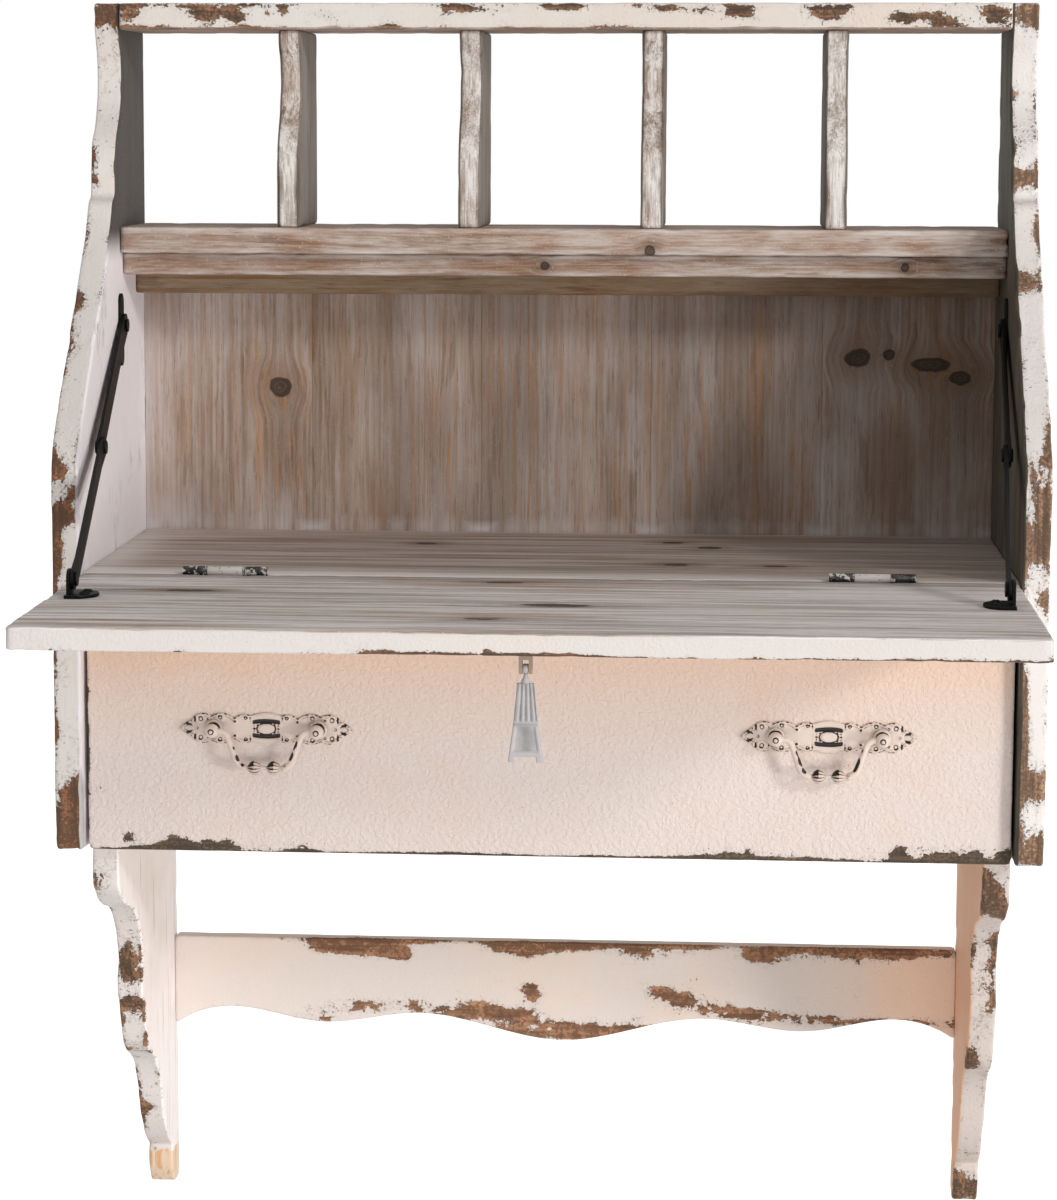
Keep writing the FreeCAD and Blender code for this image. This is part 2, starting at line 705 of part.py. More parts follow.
def add_drawer(nodes):
    """Drawer box behind a full-width front, with its bottom held in grooves."""
    front_half = half_width - drawer_side_gap
    top_z = lid_under_z - drawer_top_gap
    front_low = V(-front_half, drawer_face_y, case_bottom_z)
    front = box(front_low, V(front_half, drawer_inside_y, top_z))
    box_half = half_width - drawer_box_gap
    low_z = bottom_top_z + running_gap
    high_z = low_z + drawer_box_height
    rear_y = -back_thickness - drawer_rear_gap
    inner_half = box_half - drawer_wall
    side = box(V(inner_half, drawer_inside_y, low_z), V(box_half, rear_y, high_z))
    back_low = V(-inner_half, rear_y - drawer_wall, low_z)
    back = box(back_low, V(inner_half, rear_y, high_z))
    panel_low_z = low_z + drawer_bottom_lift
    panel_half = inner_half + drawer_groove
    panel_low = V(-panel_half, drawer_inside_y - drawer_groove, panel_low_z)
    panel_high = V(panel_half, back_low.y + drawer_groove, panel_low_z + drawer_bottom_thickness)
    panel = box(panel_low, panel_high)
    nodes["drawer_front"] = front.cut(panel)
    nodes["drawer_side_right"] = side.cut(panel)
    nodes["drawer_side_left"] = mirrored(nodes["drawer_side_right"])
    nodes["drawer_back"] = back.cut(panel)
    nodes["drawer_bottom"] = panel


def plate_point(shares, x_sign, z_sign):
    """Point on a pull plate's outline in one of its four quarters."""
    length_share, height_share = shares
    x = x_sign * pull_plate_length / 2 * length_share
    return V(x, 0, z_sign * pull_plate_height / 2 * height_share)


def pull_plate():
    """Scalloped plate with pointed ends and a raised oval in the middle, its back on Y = 0."""
    edges = []
    for z_sign in (-1, 1):
        first = plate_cusp_shares[0]
        crest = plate_point((0, 1), 1, z_sign)
        edges.append(arc(plate_point(first, -1, z_sign), crest, plate_point(first, 1, z_sign)))
        for x_sign in (-1, 1):
            cusps = [plate_point(shares, x_sign, z_sign) for shares in plate_cusp_shares]
            crests = [plate_point(shares, x_sign, z_sign) for shares in plate_crest_shares]
            edges += [arc(*points) for points in zip(cusps, crests, cusps[1:])]
    plate = extruded(edges, V(0, -pull_plate_thickness, 0))
    oval = Part.Ellipse(V(0, 0, 0), medallion_length / 2, medallion_height / 2).toShape()
    oval.rotate(V(0, 0, 0), V(1, 0, 0), 90)
    medallion = extruded([oval], V(0, -pull_plate_thickness - medallion_rise, 0))
    return joined([plate, medallion])


def pull_post():
    """Turned post with a ball head, and a threaded shank that runs back through the drawer front."""
    base_y = -pull_plate_thickness
    flange_y = base_y - post_flange
    neck_reach = math.sqrt(post_ball_radius**2 - post_neck_radius**2)
    points = [V(0, base_y, 0), V(post_flange_radius, base_y, 0), V(post_flange_radius, flange_y, 0)]
    points += [V(post_neck_radius, flange_y, 0), V(post_neck_radius, neck_reach - post_reach, 0)]
    ball_side = V(post_ball_radius, -post_reach, 0)
    ball_tip = V(0, -post_reach - post_ball_radius, 0)
    edges = polyline(points) + [arc(points[-1], ball_side, ball_tip), line(ball_tip, points[0])]
    turned = Part.Face(Part.Wire(edges)).revolve(V(0, 0, 0), V(0, 1, 0), 360)
    shank_length = pull_plate_thickness + drawer_front_thickness + nut_thickness + shank_past_nut
    shank = Part.makeCylinder(post_shank_radius, shank_length, V(0, base_y, 0), V(0, 1, 0))
    return joined([turned, shank])


def pull_nut():
    """Hexagon nut on the inside of the drawer front."""
    corners = [V(nut_radius, 0, 0)]
    for corner in range(1, nut_sides + 1):
        angle = 2 * math.pi * corner / nut_sides
        corners.append(V(nut_radius * math.cos(angle), 0, nut_radius * math.sin(angle)))
    nut = extruded(polyline(corners), V(0, nut_thickness, 0))
    bore_radius = post_shank_radius + seat_clearance
    return nut.cut(Part.makeCylinder(bore_radius, nut_thickness, V(0, 0, 0), V(0, 1, 0)))


def rounded_path(points, radii):
    """Edges through the points, each inner corner rounded by its own radius."""
    edges = []
    start = points[0]
    for before, corner, after, radius in zip(points, points[1:], points[2:], radii):
        back = (before - corner).normalize()
        ahead = (after - corner).normalize()
        half_angle = back.getAngle(ahead) / 2
        reach = radius / math.tan(half_angle)
        bisector = (back + ahead).normalize()
        centre = corner + bisector * (radius / math.sin(half_angle))
        edges.append(line(start, corner + back * reach))
        edges.append(arc(corner + back * reach, centre - bisector * radius, corner + ahead * reach))
        start = corner + ahead * reach
    edges.append(line(start, points[-1]))
    return edges


def pull_bail():
    """Swan-neck bail on the line of the two posts, hanging down, with two beads on its bar."""
    socket_x = pull_spacing / 2 - post_ball_radius + bail_socket
    half = [V(socket_x, 0, 0), V(bail_shoulder_half, 0, 0), V(bail_bar_half, 0, -bail_drop)]
    points = [V(-point.x, 0, point.z) for point in half] + list(reversed(half))
    radii = [bail_shoulder_radius, bail_corner_radius, bail_corner_radius, bail_shoulder_radius]
    path = Part.Wire(rounded_path(points, radii))
    section = Part.Wire(Part.makeCircle(bail_radius, points[0], V(1, 0, 0)))
    pieces = [path.makePipeShell([section], True, False)]
    for shift in (-bead_offset, bead_offset):
        start = V(shift - bead_half_length, 0, -bail_drop)
        crown = V(shift, 0, bead_radius - bail_drop)
        end = V(shift + bead_half_length, 0, -bail_drop)
        edges = [arc(start, crown, end), line(end, start)]
        pieces.append(Part.Face(Part.Wire(edges)).revolve(start, V(1, 0, 0), 360))
    return joined(pieces)


def add_pulls(nodes):
    """Two bail pulls bolted through the drawer front."""
    posts = []
    nuts = []
    pull_z = desk_z - pull_below_desk
    for side, centre_x in (("left", -pull_offset), ("right", pull_offset)):
        middle = V(centre_x, drawer_face_y, pull_z)
        plate = pull_plate().translated(middle)
        nodes[f"bail_{side}"] = pull_bail().translated(middle - V(0, post_reach, 0))
        for shift in (-pull_spacing / 2, pull_spacing / 2):
            place = middle + V(shift, 0, 0)
            post = pull_post().translated(place)
            inward = V(-math.copysign(1, shift), 0, 0)
            socket_depth = bail_socket - post_ball_radius + pin_clearance
            socket_start = place - V(0, post_reach, 0) - inward * socket_depth
            socket = Part.makeCylinder(bail_radius + pin_clearance, post_ball_radius, socket_start, inward)
            posts.append(post.cut(socket))
            nuts.append(pull_nut().translated(place + V(0, drawer_front_thickness, 0)))
            hole_start = place - V(0, pull_plate_thickness, 0)
            hole_length = pull_plate_thickness + drawer_front_thickness
            hole_radius = post_shank_radius + seat_clearance
            hole = Part.makeCylinder(hole_radius, hole_length, hole_start, V(0, 1, 0))
            plate = plate.cut(hole)
            nodes["drawer_front"] = nodes["drawer_front"].cut(hole)
        nodes[f"pull_plate_{side}"] = plate
    nodes["pull_posts"] = Part.makeCompound(posts)
    nodes["pull_nuts"] = Part.makeCompound(nuts)


def add_drop_pull(nodes):
    """Fork-ended stud under the lid's free edge, with a fluted pendant on a cross pin."""
    axis = V(0, lid_edge_y + drop_pull_inset, lid_under_z - drop_axis_drop)
    half_depth = clevis_depth / 2
    front = axis - V(0, half_depth, 0)
    rear = axis + V(0, half_depth, 0)
    edges = polyline([rear, V(0, rear.y, lid_under_z), V(0, front.y, lid_under_z), front])
    edges.append(arc(front, axis - V(0, 0, half_depth), rear))
    fork = slab(edges, -clevis_width / 2, clevis_width)
    under = V(0, axis.y, lid_under_z)
    flange = Part.makeCylinder(clevis_flange_radius, clevis_flange, under, V(0, 0, -1))
    stud = Part.makeCylinder(clevis_stud_radius, clevis_stud_length, under, V(0, 0, 1))
    slot_low = axis - V(clevis_slot / 2, clevis_depth, clevis_depth)
    slot = box(slot_low, axis + V(clevis_slot / 2, clevis_depth, clevis_slot_depth))
    fork_bore = rod_x(drop_pin_radius + seat_clearance, -clevis_width / 2, clevis_width, axis)
    nodes["drop_pull_fork"] = drilled(joined([fork, flange, stud]), [slot, fork_bore])
    nodes["drop_pull_pin"] = rod_x(drop_pin_radius, -clevis_width / 2, clevis_width, axis)
    hole_radius = clevis_stud_radius + seat_clearance
    stud_hole = Part.makeCylinder(hole_radius, clevis_stud_length, under, V(0, 0, 1))
    nodes["lid_board"] = nodes["lid_board"].cut(stud_hole)
    nodes["drop_pull_pendant"] = pendant().translated(axis)


def pendant_half_width(drop):
    """Half width of the pendant at a distance below its top edge."""
    widening = (pendant_foot_width - pendant_top_width) / 2 / pendant_length
    return pendant_top_width / 2 + widening * drop


def pendant():
    """Tapered pendant about its hanging axis: fluted above, a sunk panel below, two small feet."""
    top_z = -pendant_top_drop
    foot_z = top_z - pendant_length
    notch_z = foot_z + pendant_foot_notch
    top_half = pendant_half_width(0)
    foot_half = pendant_half_width(pendant_length)
    notch_half = foot_half - pendant_foot
    right = [V(top_half, 0, top_z), V(foot_half, 0, foot_z)]
    right += [V(notch_half, 0, foot_z), V(notch_half, 0, notch_z)]
    left = [V(-point.x, 0, point.z) for point in reversed(right)]
    body = extruded(polyline(right + left + right[:1]), V(0, pendant_thickness, 0))
    front_y = -pendant_thickness / 2
    body.translate(V(0, front_y, 0))

    middle = pendant_length / 2
    panel_top = top_z - middle - pendant_margin
    panel_low = notch_z + pendant_margin
    high_half = pendant_half_width(middle) - pendant_margin
    low_half = notch_half - pendant_margin
    corners = [V(-high_half, front_y, panel_top), V(high_half, front_y, panel_top)]
    corners += [V(low_half, front_y, panel_low), V(-low_half, front_y, panel_low)]
    panel = extruded(polyline(corners + corners[:1]), V(0, pendant_relief, 0))
    tools = [panel]
    for index in range(pendant_flute_count):
        spread_share = 2 * (index + 1) / (pendant_flute_count + 1) - 1
        start = V(top_half * spread_share, front_y, top_z + pendant_margin)
        end = V(pendant_half_width(middle) * spread_share, front_y, top_z - middle)
        travel = end - start
        tools.append(Part.makeCylinder(pendant_flute_radius, travel.Length, start, travel))
    body = drilled(body, tools)

    neck_low = V(-tongue_thickness / 2, -tongue_thickness / 2, top_z - pendant_margin)
    neck = box(neck_low, V(tongue_thickness / 2, tongue_thickness / 2, 0))
    ring = rod_x(tongue_radius, -tongue_thickness / 2, tongue_thickness, V(0, 0, 0))
    bore = rod_x(drop_pin_radius + pin_clearance, -tongue_thickness / 2, tongue_thickness, V(0, 0, 0))
    return joined([body, neck, ring]).cut(bore)


def closed_angle():
    """Lid travel from open to shut, where its free edge meets the stop rail's face."""
    reach = math.hypot(lid_length, hinge_axis_rise)
    open_angle = math.atan2(hinge_axis_rise, lid_length)
    shut_angle = math.acos((wall_to_hinge - stop_rail_depth - running_gap) / reach)
    return math.degrees(math.pi - shut_angle - open_angle)


def stay_angles(lid_turn):
    """Turns of the upper link on the case and of the lower link on the lid when the lid is shut."""
    wall_pivot, elbow, lid_pivot = stay_points()
    axis = V(0, hinge_y, hinge_z)
    turned = FreeCAD.Rotation(V(-1, 0, 0), lid_turn)
    shut_pivot = axis + turned.multVec(lid_pivot - axis)
    span = shut_pivot - wall_pivot
    lower_link_length = (elbow - lid_pivot).Length
    near = (upper_link_length**2 - lower_link_length**2 + span.Length**2) / (2 * span.Length)
    sag = math.sqrt(upper_link_length**2 - near**2)
    along = V(span).normalize()
    shut_elbow = wall_pivot + along * near + V(0, -along.z, along.y) * sag
    upper = heading(shut_elbow - wall_pivot) - heading(elbow - wall_pivot)
    lower = heading(shut_elbow - shut_pivot) - heading(elbow - lid_pivot) + lid_turn
    return upper % 360, lower % 360, shut_elbow


def heading(direction):
    """Angle of a direction in the YZ plane, from +Y towards +Z, in degrees."""
    return math.degrees(math.atan2(direction.z, direction.y))


def build():
    """Every node of the desk by name."""
    nodes = {"side_panel_right": slab(panel_outline(), half_width, board), "lid_board": lid_board()}
    add_case_boards(nodes)
    add_hinges(nodes)
    add_stays(nodes)
    add_hangers(nodes)
    nodes["side_panel_left"] = mirrored(nodes["side_panel_right"])
    add_legs(nodes)
    add_drawer(nodes)
    add_pulls(nodes)
    add_drop_pull(nodes)
    return nodes


def main():
    """Write one STEP file for each node and print the joint places that the sizes give."""
    os.makedirs("parts", exist_ok=True)
    nodes = build()
    for name, shape in nodes.items():
        shape.exportStep(f"parts/{name}.step")
    lid_turn = closed_angle()
    upper_turn, lower_turn, shut_elbow = stay_angles(lid_turn)
    print("nodes", len(nodes), "lid turn", round(lid_turn, 3))
    print("upper link turn", round(upper_turn, 3), "lower link turn", round(lower_turn, 3))
    print("stay points", stay_points(), "elbow when shut", shut_elbow)


main()
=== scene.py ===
import logging
import math
from dataclasses import dataclass, field, replace
from enum import Enum
from typing import Optional, Sequence, Union

import bmesh
import bpy
import numpy as np
from mathutils import Matrix, Vector, noise
from mathutils.geometry import delaunay_2d_cdt


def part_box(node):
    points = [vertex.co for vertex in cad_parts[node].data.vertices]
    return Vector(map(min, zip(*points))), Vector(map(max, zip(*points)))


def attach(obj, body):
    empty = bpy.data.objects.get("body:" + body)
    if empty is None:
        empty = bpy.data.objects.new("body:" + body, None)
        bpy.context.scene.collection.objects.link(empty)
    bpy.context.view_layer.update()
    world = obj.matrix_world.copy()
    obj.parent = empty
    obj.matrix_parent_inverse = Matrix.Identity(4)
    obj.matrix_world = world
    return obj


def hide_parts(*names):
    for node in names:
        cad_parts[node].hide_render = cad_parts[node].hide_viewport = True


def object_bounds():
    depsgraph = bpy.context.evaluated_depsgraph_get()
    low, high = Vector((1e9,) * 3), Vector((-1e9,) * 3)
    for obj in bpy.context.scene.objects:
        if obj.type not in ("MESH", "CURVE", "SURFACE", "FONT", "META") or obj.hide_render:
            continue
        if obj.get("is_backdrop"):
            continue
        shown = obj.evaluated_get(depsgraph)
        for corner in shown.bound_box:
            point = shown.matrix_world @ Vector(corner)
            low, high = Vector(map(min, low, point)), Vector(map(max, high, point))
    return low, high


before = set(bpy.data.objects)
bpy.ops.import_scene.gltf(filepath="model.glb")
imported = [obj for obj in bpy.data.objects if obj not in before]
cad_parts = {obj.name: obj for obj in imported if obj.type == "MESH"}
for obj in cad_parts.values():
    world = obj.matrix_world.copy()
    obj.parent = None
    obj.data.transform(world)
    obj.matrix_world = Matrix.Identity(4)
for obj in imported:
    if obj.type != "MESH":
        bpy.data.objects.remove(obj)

# Looks of a wall-hung writing desk: chipped cream paint over pine, a limewashed inside,
# black folding stays and antiqued cast pulls. Sizes are in metres, in the desk's own frame. Rows of
# worn spots, the turned posts' rows and the relief of the pull plates are in millimetres.

log = logging.getLogger("wall_desk")

MM = 0.001
TOUCH = 0.02 * MM
SHARP_ANGLE = math.radians(35)
EDGE_SPOT_DEPTH = 14 * MM
PHOTO_WIDTH = 1057
PHOTO_HEIGHT = 1200

Colour = tuple[float, float, float]
Place = tuple[float, float, float]
Socket = bpy.types.NodeSocket
Material = bpy.types.Material
Piece = bpy.types.Object
Feed = Union[Socket, float, Sequence[float]]
Rows = tuple[tuple[float, ...], ...]
Pair = tuple[float, float]
Faces = list[tuple[int, ...]]
Array = np.ndarray


class Axis(Enum):
    """Axis of the desk's frame that a board is thick along, or that its grain follows."""

    X = 0
    Y = 1
    Z = 2

    @property
    def across(self) -> tuple[int, int]:
        """The two other axes, in cyclic order."""
        return (self.value + 1) % 3, (self.value + 2) % 3


class Body(str, Enum):
    """Moving bodies of the desk that the new pieces ride on."""

    CASE = "case"
    LID = "lid"
    DRAWER = "drawer"
    BAIL_LEFT = "bail_left"
    BAIL_RIGHT = "bail_right"
    DROP_PULL = "drop_pull"


class Slot(str, Enum):
    """Material slots of the record, which the new pieces carry but nothing here reads."""

    PAINT = "distressed_paint"
    WASHED = "whitewashed_pine"
    IRON = "black_iron"
    CASTING = "antiqued_casting"


class Graph:
    """Node tree of a material or of the world, with short calls for the nodes that the finishes share."""

    def __init__(self, owner: Union[Material, bpy.types.World]) -> None:
        """Take up the owner's tree, which for a material holds one principled shader.

        Args:
            owner: Material or world that the nodes belong to.
        """
        owner.use_nodes = True
        self.owner = owner
        self.tree = owner.node_tree
        self.shader = self.tree.nodes.get("Principled BSDF")

    @classmethod
    def of_material(cls, name: str) -> "Graph":
        """Start a new material."""
        return cls(bpy.data.materials.new(name))

    def node(self, kind: str, **settings: object) -> bpy.types.Node:
        """Add a node.

        Args:
            kind: Blender's name of the node type.
            settings: Properties of the node to set.

        Returns:
            The new node.
        """
        made = self.tree.nodes.new(kind)
        for key, value in settings.items():
            setattr(made, key, value)
        return made

    def feed(self, socket: Socket, value: Feed) -> None:
        """Link a socket, or set its own value.

        Args:
            socket: Input to fill.
            value: Output to link, or a plain number or list.
        """
        if isinstance(value, Socket):
            self.tree.links.new(value, socket)
        else:
            socket.default_value = value

    def place(self) -> Socket:
        """Place on the piece, in metres, which stays with the piece when it moves."""
        return self.node("ShaderNodeTexCoord").outputs["Object"]

    def attribute(self, name: str) -> Socket:
        """Number stored on the mesh under that name."""
        return self.node("ShaderNodeAttribute", attribute_name=name).outputs["Fac"]

    def math(
        self, operation: str, first: Feed, second: Feed = 0.0, clamp: bool = False, third: Feed = 0.0
    ) -> Socket:
        """Combine two or three numbers.

        Args:
            operation: Blender's name of the operation.
            first: First number.
            second: Second number.
            clamp: Keep the result between 0 and 1.
            third: Third number, for the operations that take one.

        Returns:
            The result.
        """
        made = self.node("ShaderNodeMath", operation=operation, use_clamp=clamp)
        for socket, value in zip(made.inputs, (first, second, third)):
            self.feed(socket, value)
        return made.outputs[0]

    def times(self, first: Feed, second: Feed, clamp: bool = False) -> Socket:
        """Product of two numbers."""
        return self.math("MULTIPLY", first, second, clamp)

    def largest(self, first: Feed, second: Feed) -> Socket:
        """The larger of two numbers."""
        return self.math("MAXIMUM", first, second)

    def level(self, place: Socket) -> Socket:
        """Height of a place.

        Args:
            place: Place on the piece.

        Returns:
            Its level in metres.
        """
        made = self.node("ShaderNodeSeparateXYZ")
        self.feed(made.inputs[0], place)
        return made.outputs["Z"]

    def seen(self) -> Socket:
        """Tell rays that see a surface from those that light the desk.

        Returns:
            1 for rays from the camera, reflections and glass, and 0 for the others.
        """
        rays = self.node("ShaderNodeLightPath").outputs
        first = self.largest(rays["Is Camera Ray"], rays["Is Glossy Ray"])
        return self.largest(first, rays["Is Transmission Ray"])

    def weighted(self, *terms: tuple[Feed, float]) -> Socket:
        """Sum of numbers, each with its own weight.

        Args:
            terms: Pairs of a number and its weight.

        Returns:
            The sum.
        """
        total: Feed = 0.0
        for value, weight in terms:
            total = self.math("MULTIPLY_ADD", value, weight, third=total)
        return total

    def ramp(self, value: Feed, low: float, high: float, start: float = 0.0, end: float = 1.0) -> Socket:
        """Smooth step of a number between two limits.

        Args:
            value: Number to remap.
            low: Value that gives start.
            high: Value that gives end.
            start: Result at and below low.
            end: Result at and above high.

        Returns:
            The remapped number.
        """
        made = self.node("ShaderNodeMapRange", interpolation_type="SMOOTHSTEP")
        self.feed(made.inputs["Value"], value)
        for name, limit in zip(("From Min", "From Max", "To Min", "To Max"), (low, high, start, end)):
            made.inputs[name].default_value = limit
        return made.outputs["Result"]

    def vector(self, operation: str, first: Feed, second: Feed = (0, 0, 0), scale: Feed = 1.0) -> Socket:
        """Combine two vectors, or scale or measure one.

        Args:
            operation: Blender's name of the operation.
            first: First vector.
            second: Second vector, for the operations that take one.
            scale: Number to scale by, for the operation that takes one.

        Returns:
            The resulting vector, or the length.
        """
        made = self.node("ShaderNodeVectorMath", operation=operation)
        for index, value in ((0, first), (1, second), (3, scale)):
            self.feed(made.inputs[index], value)
        return made.outputs["Value" if operation == "LENGTH" else "Vector"]

    def scaled(self, first: Feed, share: Feed) -> Socket:
        """A vector times a number."""
        return self.vector("SCALE", first, scale=share)

    def clouds(self, vector: Feed, scale: float, detail: float, rough: float = 0.5) -> bpy.types.Node:
        """Add a noise node.

        Args:
            vector: Place to read it at.
            scale: Features in a metre.
            detail: Number of finer layers.
            rough: Weight of the finer layers.

        Returns:
            The new node.
        """
        made = self.node("ShaderNodeTexNoise")
        for name, value in zip(("Vector", "Scale", "Detail", "Roughness"), (vector, scale, detail, rough)):
            self.feed(made.inputs[name], value)
        return made

    def noise(self, vector: Feed, scale: float, detail: float = 3.0, rough: float = 0.55) -> Socket:
        """Cloudy noise between 0 and 1, with the settings of the node."""
        return self.clouds(vector, scale, detail, rough).outputs["Fac"]

    def warped(self, vector: Feed, scale: float, reach: float) -> Socket:
        """A place pushed about by noise, which makes outlines ragged.

        Args:
            vector: Place to push.
            scale: Pushes in a metre.
            reach: Length of the largest push.

        Returns:
            The pushed place.
        """
        push = self.clouds(vector, scale, 2.0).outputs["Color"]
        centred = self.vector("SUBTRACT", push, (0.5, 0.5, 0.5))
        return self.vector("ADD", vector, self.scaled(centred, 2 * reach))

    def mix(self, share: Feed, first: Feed, second: Feed) -> Socket:
        """Mix two colours.

        Args:
            share: Share of the second colour.
            first: First colour.
            second: Second colour.

        Returns:
            The mixed colour.
        """
        made = self.node("ShaderNodeMix", data_type="RGBA")
        self.feed(made.inputs[0], share)
        for socket, colour in ((made.inputs[6], first), (made.inputs[7], second)):
            self.feed(socket, colour if isinstance(colour, Socket) else (*colour, 1.0))
        return made.outputs[2]

    def bump(self, height: Feed, distance: float, strength: float = 1.0) -> Socket:
        """Surface relief.

        Args:
            height: Height between 0 and 1.
            distance: Real height of a value of 1, in metres.
            strength: Share of the relief that shows.

        Returns:
            The bumped normal.
        """
        made = self.node("ShaderNodeBump")
        made.inputs["Distance"].default_value = distance
        made.inputs["Strength"].default_value = strength
        self.feed(made.inputs["Height"], height)
        return made.outputs["Normal"]

    def finish(
        self, colour: Feed, rough: Feed, normal: Optional[Socket] = None, specular: float = 0.5
    ) -> Material:
        """Wire the shader.

        Args:
            colour: Base colour.
            rough: Roughness.
            normal: Bumped normal, if the finish has one.
            specular: Strength of its reflections.

        Returns:
            The finished material.
        """
        self.feed(self.shader.inputs["Base Color"], colour)
        self.feed(self.shader.inputs["Roughness"], rough)
        self.feed(self.shader.inputs["Specular IOR Level"], specular)
        if normal is not None:
            self.feed(self.shader.inputs["Normal"], normal)
        return self.owner


@dataclass(frozen=True)
class Finish:
    """A finish of the desk, known by its name."""

    name: str

    def material(self) -> Material:
        """Make the material, in the finish's own way."""
        raise NotImplementedError


@dataclass(frozen=True)
class Knot:
    """A knot in a board: its place, its radius, and how far it is drawn in along and across the grain."""

    place: Place
    radius: float
    shape: Pair = (1.0, 1.0)


@dataclass(frozen=True)
class WoodFinish(Finish):
    """A finish on wood, with patterns that are drawn out along the grain."""

    grain: Axis

    def drawn(self, graph: Graph, place: Feed, along: float, across: float) -> Socket:
        """A place scaled so that a pattern is drawn out along the grain."""
        scales = tuple(along if axis is self.grain else across for axis in Axis)
        return graph.vector("MULTIPLY", place, scales)

    def grained(
        self, graph: Graph, place: Feed, along: float, across: float, detail: float = 2.0
    ) -> Socket:
        """Noise with its own number of features in a metre along and across the grain."""
        return graph.noise(self.drawn(graph, place, along, across), 1.0, detail)


